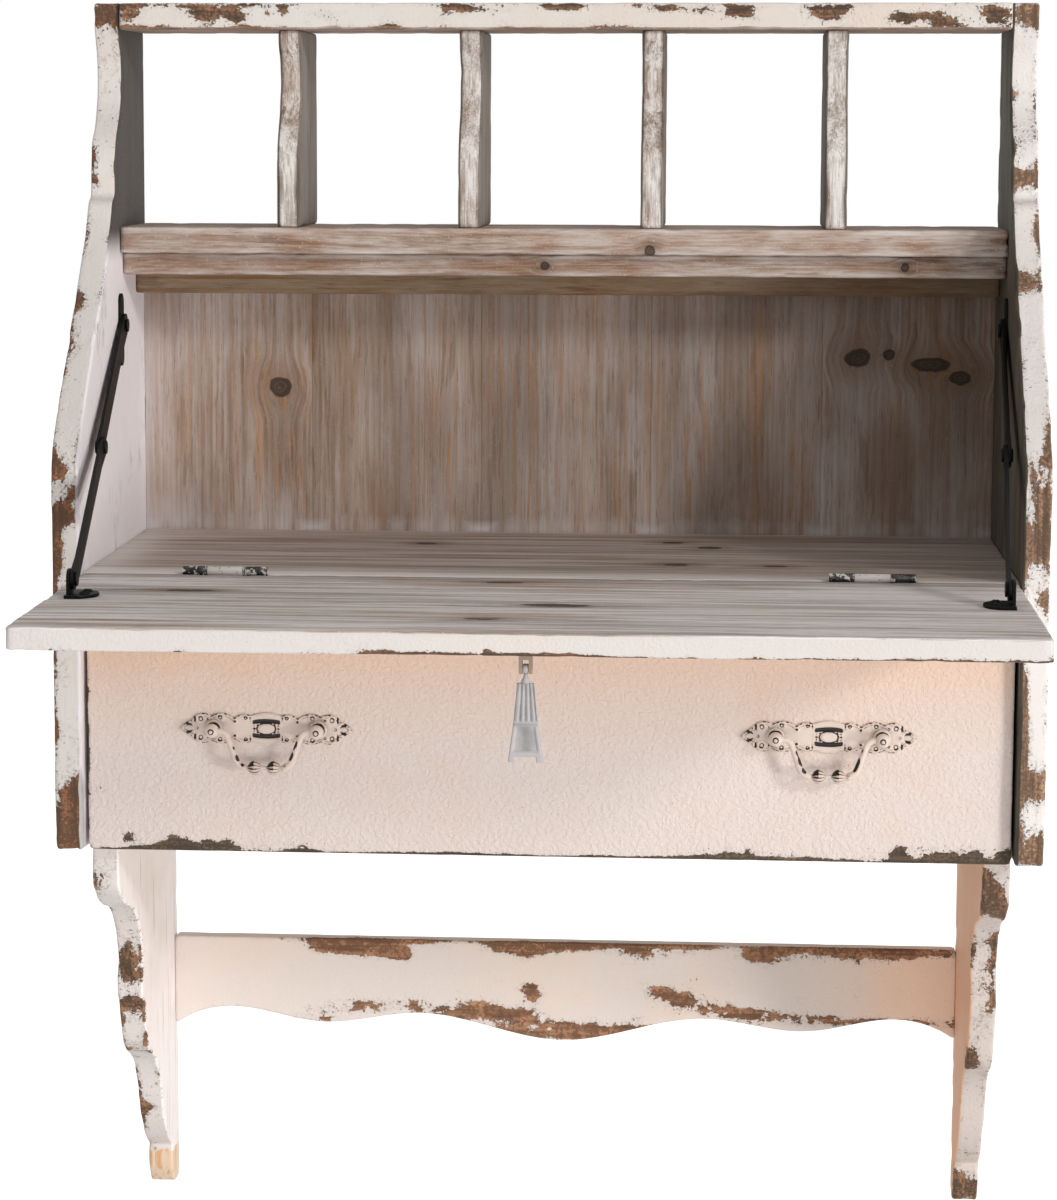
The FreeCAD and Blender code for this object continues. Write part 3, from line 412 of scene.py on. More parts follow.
@dataclass(frozen=True)
class PineFinish(WoodFinish):
    """Pine with visible grain under a thin wash of white, as on the inside of the desk."""

    heart: Colour
    late: Colour
    wash: Colour
    wash_share: float = 0.7
    cloud: Pair = (9.0, 42.0)
    fibre: Pair = (60.0, 1300.0)
    streak: Pair = (14.0, 160.0)
    line_pitch: float = 5 * MM
    line_share: float = 0.6
    streak_share: float = 0.3
    stain_share: float = 0.3
    fleck_share: float = 0.4
    sound_lines: float = 1.0
    chalk: Colour = (0.80, 0.76, 0.74)
    knots: tuple[Knot, ...] = ()
    rough: float = 0.75
    relief: float = 0.25 * MM
    # Level span above which the wash is taken off, so the dark heart shows as painted shade
    painted_shade_span: Optional[Pair] = None

    def around_knots(self, graph: Graph, place: Socket) -> tuple[Socket, Feed, Feed, Feed]:
        """Bend the grain round the knots.

        Args:
            graph: Node tree to add to.
            place: Place on the board.

        Returns:
            The bent place, the share of knot, of its rings, and of stained wood around it.
        """
        core: Feed = 0.0
        rings: Feed = 0.0
        halo: Feed = 0.0
        bent = place
        for knot in self.knots:
            offset = graph.vector("SUBTRACT", graph.warped(place, 110.0, 0.4 * knot.radius), knot.place)
            distance = graph.vector("LENGTH", self.drawn(graph, offset, *knot.shape))
            inside = graph.ramp(distance, knot.radius * 1.08, knot.radius * 0.88)
            core = graph.largest(core, inside)
            wave = graph.math("SINE", graph.times(distance, 17.0 / knot.radius))
            heart = graph.ramp(distance, knot.radius * 0.85, knot.radius * 0.35)
            rings = graph.largest(rings, graph.times(heart, graph.ramp(wave, -0.9, 1.2)))
            near = graph.ramp(distance, knot.radius * 4.0, knot.radius * 0.6)
            halo = graph.largest(halo, near)
            push = self.drawn(graph, offset, 0.0, 0.6)
            bent = graph.vector("SUBTRACT", bent, graph.scaled(push, near))
        return bent, core, rings, halo

    def film(self, graph: Graph, place: Socket, fibre: Socket, late: Socket, halo: Feed) -> Socket:
        """Share of white wash that is left on the wood, taken off above the span of painted shade.

        Args:
            graph: Node tree to add to.
            place: Place on the board.
            fibre: Fine fibres of the wood.
            late: Share of hard grain lines, which hold less wash.
            halo: Share of stained wood round the knots.

        Returns:
            The share of wash.
        """
        cloud = graph.noise(self.drawn(graph, place, *self.cloud), 1.0, 6.0, 0.68)
        film = graph.weighted((graph.ramp(cloud, 0.36, 0.64), 0.8), (graph.ramp(fibre, 0.32, 0.68), 0.45))
        worn = graph.ramp(graph.attribute("wear"), 0.15, 0.75)
        for share, hold in ((late, 0.85), (halo, 0.5), (worn, 0.5)):
            film = graph.times(film, graph.math("MULTIPLY_ADD", share, -hold, third=1.0))
        film = graph.times(film, self.wash_share, clamp=True)
        # painted shade: the wash goes above this span, leaving the dark heart colour
        if self.painted_shade_span is not None:
            kept = graph.ramp(graph.level(graph.place()), *self.painted_shade_span, 1.0, 0.03)
            film = graph.times(film, kept)
        return film

    def material(self) -> Material:
        """Make the material.

        Returns:
            Washed wood whose grain follows the board and bends round its knots.
        """
        graph = Graph.of_material(self.name)
        place, core, rings, halo = self.around_knots(graph, graph.place())
        place = graph.vector("ADD", place, graph.scaled((1.0, 1.7, 2.3), graph.attribute("board_seed")))
        drift = self.grained(graph, place, 2.0, 12.0)
        turned = graph.vector("ADD", place, graph.scaled((0.035, 0.035, 0.035), drift))
        lines = self.grained(graph, turned, 1.6, 1 / self.line_pitch, 1.0)
        fine = self.grained(graph, turned, 4.0, 2.6 / self.line_pitch, 1.0)
        fibre = self.grained(graph, place, *self.fibre)
        broad = self.grained(graph, place, 3.5, 24.0, 3.0)
        group = graph.ramp(self.grained(graph, place, 1.5, 11.0), 0.40, 0.58, 0.3, 1.0)
        streak = graph.ramp(self.grained(graph, turned, *self.streak, 3.0), 0.62, 0.68)
        pores = graph.ramp(self.grained(graph, place, 75.0, 1200.0), 0.58, 0.70)
        stain = graph.ramp(self.grained(graph, place, 3.0, 8.0, 3.0), 0.42, 0.70)
        bold, faint = graph.ramp(lines, 0.57, 0.61), graph.ramp(fine, 0.58, 0.63)
        late = graph.weighted((bold, self.line_share), (faint, 0.5))
        kept = graph.ramp(graph.attribute("wear"), 0.1, 0.6, self.sound_lines, 1.0)
        late = graph.times(late, graph.times(group, kept))

        wood = graph.mix(graph.ramp(broad, 0.3, 0.7), self.heart, tuple(0.66 * c for c in self.heart))
        wood = graph.mix(late, wood, self.late)
        wood = graph.mix(graph.times(halo, 0.5), wood, tuple(0.45 * c for c in self.late))
        colour = graph.mix(self.film(graph, place, fibre, late, halo), wood, self.wash)
        dark = tuple(0.22 * c for c in self.late)
        colour = graph.mix(graph.times(streak, self.streak_share), colour, dark)
        colour = graph.mix(graph.times(pores, 0.1 + 0.8 * self.streak_share), colour, dark)
        worn = graph.ramp(graph.attribute("wear"), 0.15, 0.75, 0.0, 0.45)
        stain = graph.largest(graph.times(stain, self.stain_share), worn)
        colour = graph.mix(stain, colour, tuple(0.42 * c for c in self.heart))
        held = graph.ramp(fibre, 0.25, 0.5, 0.45, 1.0)
        chalk = graph.times(graph.attribute("chalk"), held, clamp=True)
        colour = graph.mix(chalk, colour, self.chalk)
        flecks = graph.ramp(graph.noise(place, 700.0, 2.0), 0.63, 0.70)
        bright = tuple(1.3 * c for c in self.wash)
        colour = graph.mix(graph.times(flecks, self.fleck_share), colour, bright)
        knot_wood = graph.mix(rings, (0.036, 0.026, 0.020), (0.095, 0.062, 0.042))
        colour = graph.mix(graph.times(core, 0.86), colour, knot_wood)
        height = graph.weighted((fibre, 0.4), (late, 0.35), (pores, -0.25), (streak, -0.3))
        return graph.finish(colour, self.rough, graph.bump(height, self.relief, 0.9), 0.2)


@dataclass(frozen=True)
class PaintFinish(WoodFinish):
    """Chalky cream paint, crazed with age and chipped down to brown pine."""

    pale: Colour = (0.81, 0.765, 0.735)
    blush: Colour = (0.80, 0.68, 0.61)
    bare: Colour = (0.30, 0.16, 0.092)
    bare_dark: Colour = (0.075, 0.050, 0.034)
    blush_share: float = 0.35
    peel: float = 0.1 * MM
    peel_scale: float = 520.0
    split_share: float = 0.0
    split_from: float = 0.03
    pit_share: float = 0.0
    thin_share: float = 0.25
    coat: float = 0.5 * MM
    rough: float = 0.62
    # Level span over which a warm blush of painted shade rises
    painted_shade_blush_span: Optional[Pair] = None
    foot_level: Optional[float] = None
    foot: Colour = (0.83, 0.66, 0.49)

    def bare_wood(self, graph: Graph, place: Socket, grain: Socket) -> Socket:
        """Colour of the wood in the chips.

        Args:
            graph: Node tree to add to.
            place: Place on the board.
            grain: Grain of the wood.

        Returns:
            The colour.
        """
        patch = graph.noise(place, 80.0, 4.0)
        wood = graph.mix(graph.ramp(grain, 0.32, 0.66), self.bare_dark, self.bare)
        wood = graph.mix(graph.ramp(patch, 0.5, 0.75, 0.0, 0.55), wood, tuple(2.0 * c for c in self.bare))
        return graph.mix(graph.ramp(patch, 0.48, 0.28, 0.0, 0.75), wood, (0.09, 0.062, 0.044))

    def coat_colour(self, graph: Graph, place: Socket, mottle: Socket) -> Socket:
        """Colour of the sound paint, with a warm blush of painted shade within its shade span and where the
        mesh's chalk marks it.

        Args:
            graph: Node tree to add to.
            place: Place on the board.
            mottle: Fine clouds in the paint.

        Returns:
            The colour.
        """
        cloud = graph.noise(place, 7.0, 3.0)
        tint = graph.weighted((cloud, 0.8), (mottle, 0.4), (self.blush_share, 1.0))
        tint = graph.ramp(tint, 0.55, 1.25)
        # painted shade: the blush rises towards the top of the span
        if self.painted_shade_blush_span is not None:
            rise = graph.ramp(graph.level(place), *self.painted_shade_blush_span)
            tint = graph.math("MULTIPLY_ADD", rise, 0.8, clamp=True, third=tint)
        # painted shade: the chalk attribute blends in the blush, which on the stretcher's right end stands
        # for the right leg's shadow
        return graph.mix(graph.largest(tint, graph.attribute("chalk")), self.pale, self.blush)

    def material(self) -> Material:
        """Make the material.

        Returns:
            Paint whose chips follow the wear that is stored on the mesh.
        """
        graph = Graph.of_material(self.name)
        place = graph.place()
        ragged = graph.warped(graph.warped(place, 140.0, 2.5 * MM), 800.0, 0.8 * MM)
        drawn = self.drawn(graph, ragged, 0.5, 1.0)
        blotch = graph.math("MULTIPLY_ADD", graph.noise(drawn, 95.0, 8.0, 0.70), 1.8, third=-0.4)
        grit = graph.noise(ragged, 560.0, 3.0, 0.6)
        wear = graph.attribute("wear")
        level = graph.weighted((blotch, 0.74), (grit, 0.26), (wear, 0.66))
        chip = graph.ramp(level, 0.885, 0.90)
        thin = graph.ramp(level, 0.64, 0.885)
        rim = graph.math("SUBTRACT", graph.ramp(level, 0.84, 0.885), chip, clamp=True)
        speckle = graph.noise(place, 520.0, 3.0)
        specks = graph.weighted((speckle, 0.9), (wear, 0.26), (blotch, 0.08), (self.pit_share, 1.0))
        pits = graph.ramp(specks, 0.725, 0.755)
        mottle = graph.noise(place, 46.0, 4.0)
        grain = self.grained(graph, place, 16.0, 420.0, 3.0)

        paint = self.coat_colour(graph, place, mottle)
        split = graph.ramp(self.grained(graph, place, 10.0, 330.0, 3.0), 0.62, 0.68)
        split = graph.times(split, self.split_share)
        split = graph.times(split, graph.ramp(wear, self.split_from, self.split_from + 0.37))
        paint = graph.mix(split, paint, (0.27, 0.20, 0.16))
        grey = graph.times(thin, graph.ramp(grit, 0.40, 0.60))
        paint = graph.mix(graph.times(grey, self.thin_share), paint, (0.36, 0.31, 0.275))
        paint = graph.mix(graph.times(rim, 0.6), paint, (0.83, 0.81, 0.79))
        colour = graph.mix(chip, paint, self.bare_wood(graph, place, grain))
        colour = graph.mix(graph.times(pits, 0.8), colour, self.bare_dark)
        if self.foot_level is not None:
            colour = self.with_foot(graph, ragged, grain, colour)

        peel = graph.ramp(graph.noise(place, self.peel_scale, 2.0), 0.35, 0.65)
        skin = graph.weighted((split, -self.coat), (mottle, 0.15 * MM), (peel, self.peel))
        painted = graph.math("ADD", skin, self.coat)
        keep = graph.math("SUBTRACT", 1.0, graph.largest(chip, pits))
        height = graph.times(painted, keep)
        height = graph.math("MULTIPLY_ADD", graph.times(grain, chip), 0.25 * MM, third=height)
        height = graph.times(height, 1 / MM)
        rough = graph.weighted((chip, 0.16), (mottle, 0.12), (self.rough - 0.06, 1.0))
        return graph.finish(colour, rough, graph.bump(height, MM), 0.3)

    def with_foot(self, graph: Graph, place: Socket, grain: Socket, colour: Socket) -> Socket:
        """Leave a foot of bare pale pine below the paint.

        Args:
            graph: Node tree to add to.
            place: Place on the board, with ragged edges.
            grain: Grain of the wood.
            colour: Colour of the painted board.

        Returns:
            The colour with the foot.
        """
        below = graph.ramp(graph.level(place), self.foot_level + 0.7 * MM, self.foot_level - 0.7 * MM)
        stripe = graph.ramp(self.grained(graph, graph.place(), 2.0, 110.0, 3.0), 0.50, 0.56)
        deeper = tuple(c * share for c, share in zip(self.foot, (0.92, 0.66, 0.48)))
        wood = graph.mix(stripe, self.foot, deeper)
        wood = graph.mix(graph.ramp(grain, 0.55, 0.7, 0.0, 0.3), wood, self.bare)
        return graph.mix(below, colour, wood)


@dataclass(frozen=True)
class IronFinish(Finish):
    """Black lacquered strip steel, a little scuffed."""

    black: Colour = (0.0045, 0.005, 0.005)
    scuff: Colour = (0.020, 0.020, 0.0195)

    def material(self) -> Material:
        """Make the material.

        Returns:
            Black lacquer with duller scuffs.
        """
        graph = Graph.of_material(self.name)
        place = graph.place()
        rub = graph.ramp(graph.noise(place, 150.0, 5.0, 0.65), 0.56, 0.72)
        grain = graph.noise(place, 900.0, 2.0)
        colour = graph.mix(graph.times(rub, 0.7), self.black, self.scuff)
        rough = graph.weighted((grain, 0.2), (rub, 0.12), (0.34, 1.0))
        return graph.finish(colour, rough, graph.bump(grain, 0.05 * MM, 0.5), 0.11)


@dataclass(frozen=True)
class SteelFinish(Finish):
    """Plain steel with dull patches, with or without splashes of paint."""

    bright: Colour
    dull: Colour
    paint_share: float = 0.0
    paint: Colour = (0.72, 0.69, 0.67)

    def material(self) -> Material:
        """Make the material.

        Returns:
            Steel, with any splashes of paint.
        """
        graph = Graph.of_material(self.name)
        place = graph.place()
        tarnish = graph.ramp(graph.noise(place, 210.0, 4.0, 0.6), 0.38, 0.66)
        colour = graph.mix(tarnish, self.bright, self.dull)
        scratch = graph.noise(graph.vector("MULTIPLY", place, (80.0, 1500.0, 1500.0)), 1.0, 2.0)
        rough = graph.weighted((tarnish, 0.2), (scratch, 0.15), (0.25, 1.0))
        metal = 0.9
        if self.paint_share > 0.0:
            level = graph.noise(graph.warped(place, 400.0, MM), 260.0, 4.0, 0.6)
            edge = 0.5 - 0.3 * (self.paint_share - 0.5)
            film = graph.ramp(level, edge - 0.03, edge)
            colour = graph.mix(film, colour, self.paint)
            rough = graph.largest(rough, graph.times(film, 0.6))
            graph.feed(graph.shader.inputs["Metallic"], graph.ramp(film, 0.0, 1.0, metal, 0.0))
            return graph.finish(colour, rough, graph.bump(film, 0.15 * MM))
        graph.shader.inputs["Metallic"].default_value = metal
        return graph.finish(colour, rough, graph.bump(scratch, 0.03 * MM, 0.4))


@dataclass(frozen=True)
class CastingFinish(Finish):
    """Cast metal with white wash rubbed off the high spots and black left in the hollows."""

    wash: Colour = (0.74, 0.64, 0.585)
    shade: Colour = (0.55, 0.40, 0.32)
    black: Colour = (0.012, 0.010, 0.009)
    black_share: float = 0.5
    soft: float = 0.1

    def material(self) -> Material:
        """Make the material.

        Returns:
            A wash that is black where the mesh says that it is hollow, and on the bails also where it carries
            a painted dark reflection.
        """
        graph = Graph.of_material(self.name)
        place = graph.place()
        cloud = graph.noise(place, 130.0, 4.0, 0.6)
        grit = graph.noise(graph.warped(place, 900.0, 0.4 * MM), 620.0, 3.0, 0.6)
        hollow = graph.attribute("recess_and_dark_reflection")
        level = graph.weighted((hollow, 1.0), (grit, 0.42), (cloud, 0.28))
        start = 0.92 - 0.3 * self.black_share
        dark = graph.ramp(level, start, start + self.soft)
        tint = graph.ramp(graph.weighted((hollow, 0.6), (cloud, 0.6)), 0.3, 0.75)
        colour = graph.mix(tint, self.wash, self.shade)
        colour = graph.mix(dark, colour, self.black)
        rough = graph.weighted((grit, 0.2), (dark, -0.12), (0.42, 1.0))
        height = graph.weighted((grit, 0.5), (dark, -0.5))
        return graph.finish(colour, rough, graph.bump(height, 0.12 * MM, 0.8), 0.3)


@dataclass(frozen=True)
class Spot:
    """A place where the finish is worn through, whitened or given painted shade, with its reach along each
    axis.
    """

    place: Place
    reach: Place
    weight: float = 1.0

    @classmethod
    def of_row(cls, row: Sequence[float]) -> "Spot":
        """A spot from a row of its place, its reach and its weight, in millimetres."""
        lengths = [value * MM for value in row[:6]]
        return cls(tuple(lengths[:3]), tuple(lengths[3:]), row[6])


@dataclass(frozen=True)
class Wear:
    """Where a board is worn or whitened, or on a painted board blushed with painted shade: along its edges,
    and at chosen spots.
    """

    edge_reach: float = 3.5 * MM
    edge_weight: float = 0.6
    patch_scale: float = 26.0
    spots: tuple[Spot, ...] = ()
    chalk: tuple[Spot, ...] = ()
    edge_chalk: float = 0.0
    dent: float = 0.5 * MM
    chip_depth: float = 0.35 * MM

    @staticmethod
    def total(spots: Sequence[Spot], place: Vector) -> float:
        """Sum of the soft spots at one point.

        Args:
            spots: Spots to add up.
            place: Point on the board.

        Returns:
            What is left of their weights there.
        """
        found = 0.0
        for spot in spots:
            gap = [(p - s) / r for p, s, r in zip(place, spot.place, spot.reach)]
            found += spot.weight * math.exp(-sum(g * g for g in gap))
        return found

    def amount(self, place: Vector, edge: float) -> float:
        """Wear at one point.

        Args:
            place: Point on the board.
            edge: Distance to the nearest edge.

        Returns:
            0 for a sound coat, up to about 1 for bare wood.
        """
        patch = 0.5 + 0.8 * noise.noise(place * self.patch_scale) + 0.3 * noise.noise(place * 90.0)
        along = self.edge_weight * math.exp(-edge / self.edge_reach) * min(max(patch, 0.1), 1.25)
        return min(along + self.total(self.spots, place), 1.3)

    def chalk_and_painted_shade(self, place: Vector, edge: float) -> float:
        """White left along the edges and at chosen spots; on a painted board the same spots lay a warm blush
        of painted shade.

        Args:
            place: Point on the board.
            edge: Distance to the nearest edge.

        Returns:
            0 for none, up to about 1 for full white, or on a painted board for full painted shade.
        """
        patch = 0.55 + 0.9 * noise.noise(place * 31.0 + Vector((5.3, 0.7, 2.9)))
        along = self.edge_chalk * math.exp(-edge / self.edge_reach) * min(max(patch, 0.0), 1.0)
        return along + self.total(self.chalk, place)

    def hollow(self, place: Vector, edge: float) -> float:
        """Depth of dents and chips at one point.

        Args:
            place: Point on the board.
            edge: Distance to the nearest edge.

        Returns:
            The depth in metres.
        """
        knock = max(0.0, noise.noise(place * 75.0 + Vector((3.1, 7.7, 1.9))) - 0.08)
        dent = self.dent * math.exp(-edge / (1.6 * self.edge_reach)) * (0.25 + 3.0 * knock)
        bare = min(max((self.amount(place, edge) - 0.45) / 0.35, 0.0), 1.0)
        return dent + self.chip_depth * bare


@dataclass
class Outline:
    """Closed outline of a board seen along its thickness, anticlockwise, in metres."""

    points: Array

    CORNER_TURN = math.radians(24)
    BLOCK = 512

    @classmethod
    def of_node(cls, node: str, axis: Axis) -> "Outline":
        """Read the outline of a node's flat face, drawn out to the node's full size.

        Args:
            node: Name of the node.
            axis: Axis that the face looks along.

        Returns:
            The outer outline of the face at the node's high end.
        """
        low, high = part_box(node)
        found = cls.largest_loop(cls.boundary(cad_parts[node].data, axis, high[axis.value]))
        points = found.points.copy()
        for column, index in enumerate(axis.across):
            ends = points[:, column].min(), points[:, column].max()
            points[np.abs(points[:, column] - ends[0]) < TOUCH, column] = low[index]
            points[np.abs(points[:, column] - ends[1]) < TOUCH, column] = high[index]
        return cls(points)

    @staticmethod
    def boundary(mesh: bpy.types.Mesh, axis: Axis, level: float) -> list[tuple]:
        """Edges of a flat face that belong to one triangle only.

        Args:
            mesh: Mesh of the node.
            axis: Axis that the face looks along.
            level: Place of the face along the axis.

        Returns:
            Directed edges as pairs of rounded points.
        """
        u, v = axis.across
        found: set[tuple] = set()
        for polygon in mesh.polygons:
            corners = [mesh.vertices[index].co for index in polygon.vertices]
            if max(abs(corner[axis.value] - level) for corner in corners) > TOUCH:
                continue
            keys = [(round(corner[u] / TOUCH), round(corner[v] / TOUCH)) for corner in corners]
            for start, end in zip(keys, keys[1:] + keys[:1]):
                if (end, start) in found:
                    found.discard((end, start))
                else:
                    found.add((start, end))
        return sorted(found)

    @classmethod
    def largest_loop(cls, edges: list[tuple]) -> "Outline":
        """Chain edges into loops and keep the one with the largest area.

        Args:
            edges: Directed edges as pairs of rounded points.

        Returns:
            The outer outline.
        """
        follow = dict(edges)
        best = np.zeros((0, 2))
        best_area = 0.0
        while follow:
            start, step = next(iter(follow.items()))
            loop = [start]
            del follow[start]
            while step in follow:
                loop.append(step)
                step = follow.pop(step)
            points = np.array(loop, float) * TOUCH
            area = cls.area_of(points)
            if abs(area) > abs(best_area):
                best, best_area = points, area
        return cls(best if best_area > 0 else best[::-1])

    @staticmethod
    def area_of(points: Array) -> float:
        """Signed area inside a closed run of points."""
        ahead = np.roll(points, -1, axis=0)
        return 0.5 * float(np.sum(points[:, 0] * ahead[:, 1] - ahead[:, 0] * points[:, 1]))

    def resampled(self, step: float) -> "Outline":
        """Even points along the outline, with its corners kept.

        Args:
            step: Longest distance between points.

        Returns:
            The new outline.
        """
        points = self.points
        before = points - np.roll(points, 1, axis=0)
        after = np.roll(points, -1, axis=0) - points
        turn = np.arctan2(
            before[:, 0] * after[:, 1] - before[:, 1] * after[:, 0],
            np.sum(before * after, axis=1),
        )
        corners = np.flatnonzero(np.abs(turn) > self.CORNER_TURN)
        if len(corners) == 0:
            corners = np.array([0])
        made = []
        for first, last in zip(corners, np.append(corners[1:], corners[0] + len(points))):
            run = points[np.arange(first, last + 1) % len(points)]
            lengths = np.concatenate([[0.0], np.cumsum(np.linalg.norm(np.diff(run, axis=0), axis=1))])
            count = max(1, math.ceil(lengths[-1] / step))
            stops = np.linspace(0.0, lengths[-1], count + 1)[:-1]
            made.append(np.stack([np.interp(stops, lengths, run[:, k]) for k in (0, 1)], axis=1))
        return Outline(np.concatenate(made))

    def softened(self, rounds: int) -> "Outline":
        """Wear the corners of the outline round.

        Args:
            rounds: How often each point is drawn towards its neighbours.

        Returns:
            The new outline.
        """
        points = self.points
        for _ in range(rounds):
            points = 0.25 * np.roll(points, 1, axis=0) + 0.5 * points + 0.25 * np.roll(points, -1, axis=0)
        return Outline(points)

    def inward(self) -> Array:
        """Directions that point into the outline.

        Returns:
            A unit vector for each of its points.
        """
        along = np.roll(self.points, -1, axis=0) - np.roll(self.points, 1, axis=0)
        along /= np.linalg.norm(along, axis=1, keepdims=True)
        return np.stack([-along[:, 1], along[:, 0]], axis=1)

    def distance(self, places: Array) -> Array:
        """Distance of places to the outline.

        Args:
            places: Points as rows.

        Returns:
            One distance for each place.
        """
        start = self.points
        span = np.roll(start, -1, axis=0) - start
        size = np.maximum(np.sum(span * span, axis=1), 1e-18)
        nearest = np.full(len(places), np.inf)
        for block in range(0, len(places), self.BLOCK):
            part = places[block:block + self.BLOCK, None, :] - start[None]
            share = np.clip(np.sum(part * span[None], axis=2) / size[None], 0.0, 1.0)
            gap = part - share[:, :, None] * span[None]
            nearest[block:block + self.BLOCK] = np.sqrt(np.min(np.sum(gap * gap, axis=2), axis=1))
        return nearest

    def inside(self, places: Array) -> Array:
        """Which places lie inside the outline.

        Args:
            places: Points as rows.

        Returns:
            One truth value for each place.
        """
        start = self.points
        end = np.roll(start, -1, axis=0)
        crossings = np.zeros(len(places), int)
        for (x0, y0), (x1, y1) in zip(start, end):
            straddles = (places[:, 1] < y0) != (places[:, 1] < y1)
            if not straddles.any():
                continue
            at = x0 + (places[:, 1] - y0) / (y1 - y0) * (x1 - x0)
            crossings += straddles & (places[:, 0] < at)
        return crossings % 2 == 1

    def filled(self, rows: Sequence[float], pitch: float) -> tuple[Array, Faces]:
        """Triangles that fill the outline, with rows of points beside its edge.

        Args:
            rows: Distances of the rows from the edge.
            pitch: Distance between the points of the middle.

        Returns:
            The points, of which the outline's own come first, and the triangles.
        """
        layers = [self.points]
        inward = self.inward()
        for row in rows:
            shifted = self.points + inward * row
            gap = self.distance(shifted)
            layers.append(shifted[(gap > 0.93 * row) & self.inside(shifted)])
        low = self.points.min(axis=0)
        high = self.points.max(axis=0)
        xs = np.arange(low[0] + pitch / 2, high[0], pitch)
        ys = np.arange(low[1] + pitch / 2, high[1], pitch * math.sqrt(0.75))
        grid = np.array([(x + (k % 2) * pitch / 2, y) for k, y in enumerate(ys) for x in xs]).reshape(-1, 2)
        if len(grid):
            keep = self.inside(grid) & (self.distance(grid) > max(rows) + 0.5 * pitch)
            layers.append(grid[keep])
        places = np.concatenate(layers) / MM
        border = list(range(len(self.points)))
        found = delaunay_2d_cdt([Vector(p) for p in places], [], [border], 1, 1e-5)
        return np.array([tuple(p) for p in found[0]]) * MM, [tuple(face) for face in found[2]]


@dataclass(frozen=True)
class BoardFaces:
    """Finishes of a board: its low face, its high face and its edges."""

    low: Material
    high: Material
    edge: Material

    @classmethod
    def whole(cls, material: Material) -> "BoardFaces":
        """One finish all round."""
        return cls(material, material, material)


def middle_of(node: str) -> Vector:
    """Middle of a node's box."""
    return sum(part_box(node), Vector()) / 2


def link_mesh(name: str, mesh: bpy.types.Mesh, body: Body) -> Piece:
    """Put a finished mesh into the scene.

    Args:
        name: Name of the new piece.
        mesh: Mesh in the desk's frame.
        body: Body that carries the piece.

    Returns:
        The new object.
    """
    piece = bpy.data.objects.new(name, mesh)
    bpy.context.scene.collection.objects.link(piece)
    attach(piece, body.value)
    return piece


def store(mesh: bpy.types.Mesh, name: str, values: Sequence[float]) -> None:
    """Store one number for each point of a mesh."""
    mesh.attributes.new(name, "FLOAT", "POINT").data.foreach_set("value", np.asarray(values, np.float32))


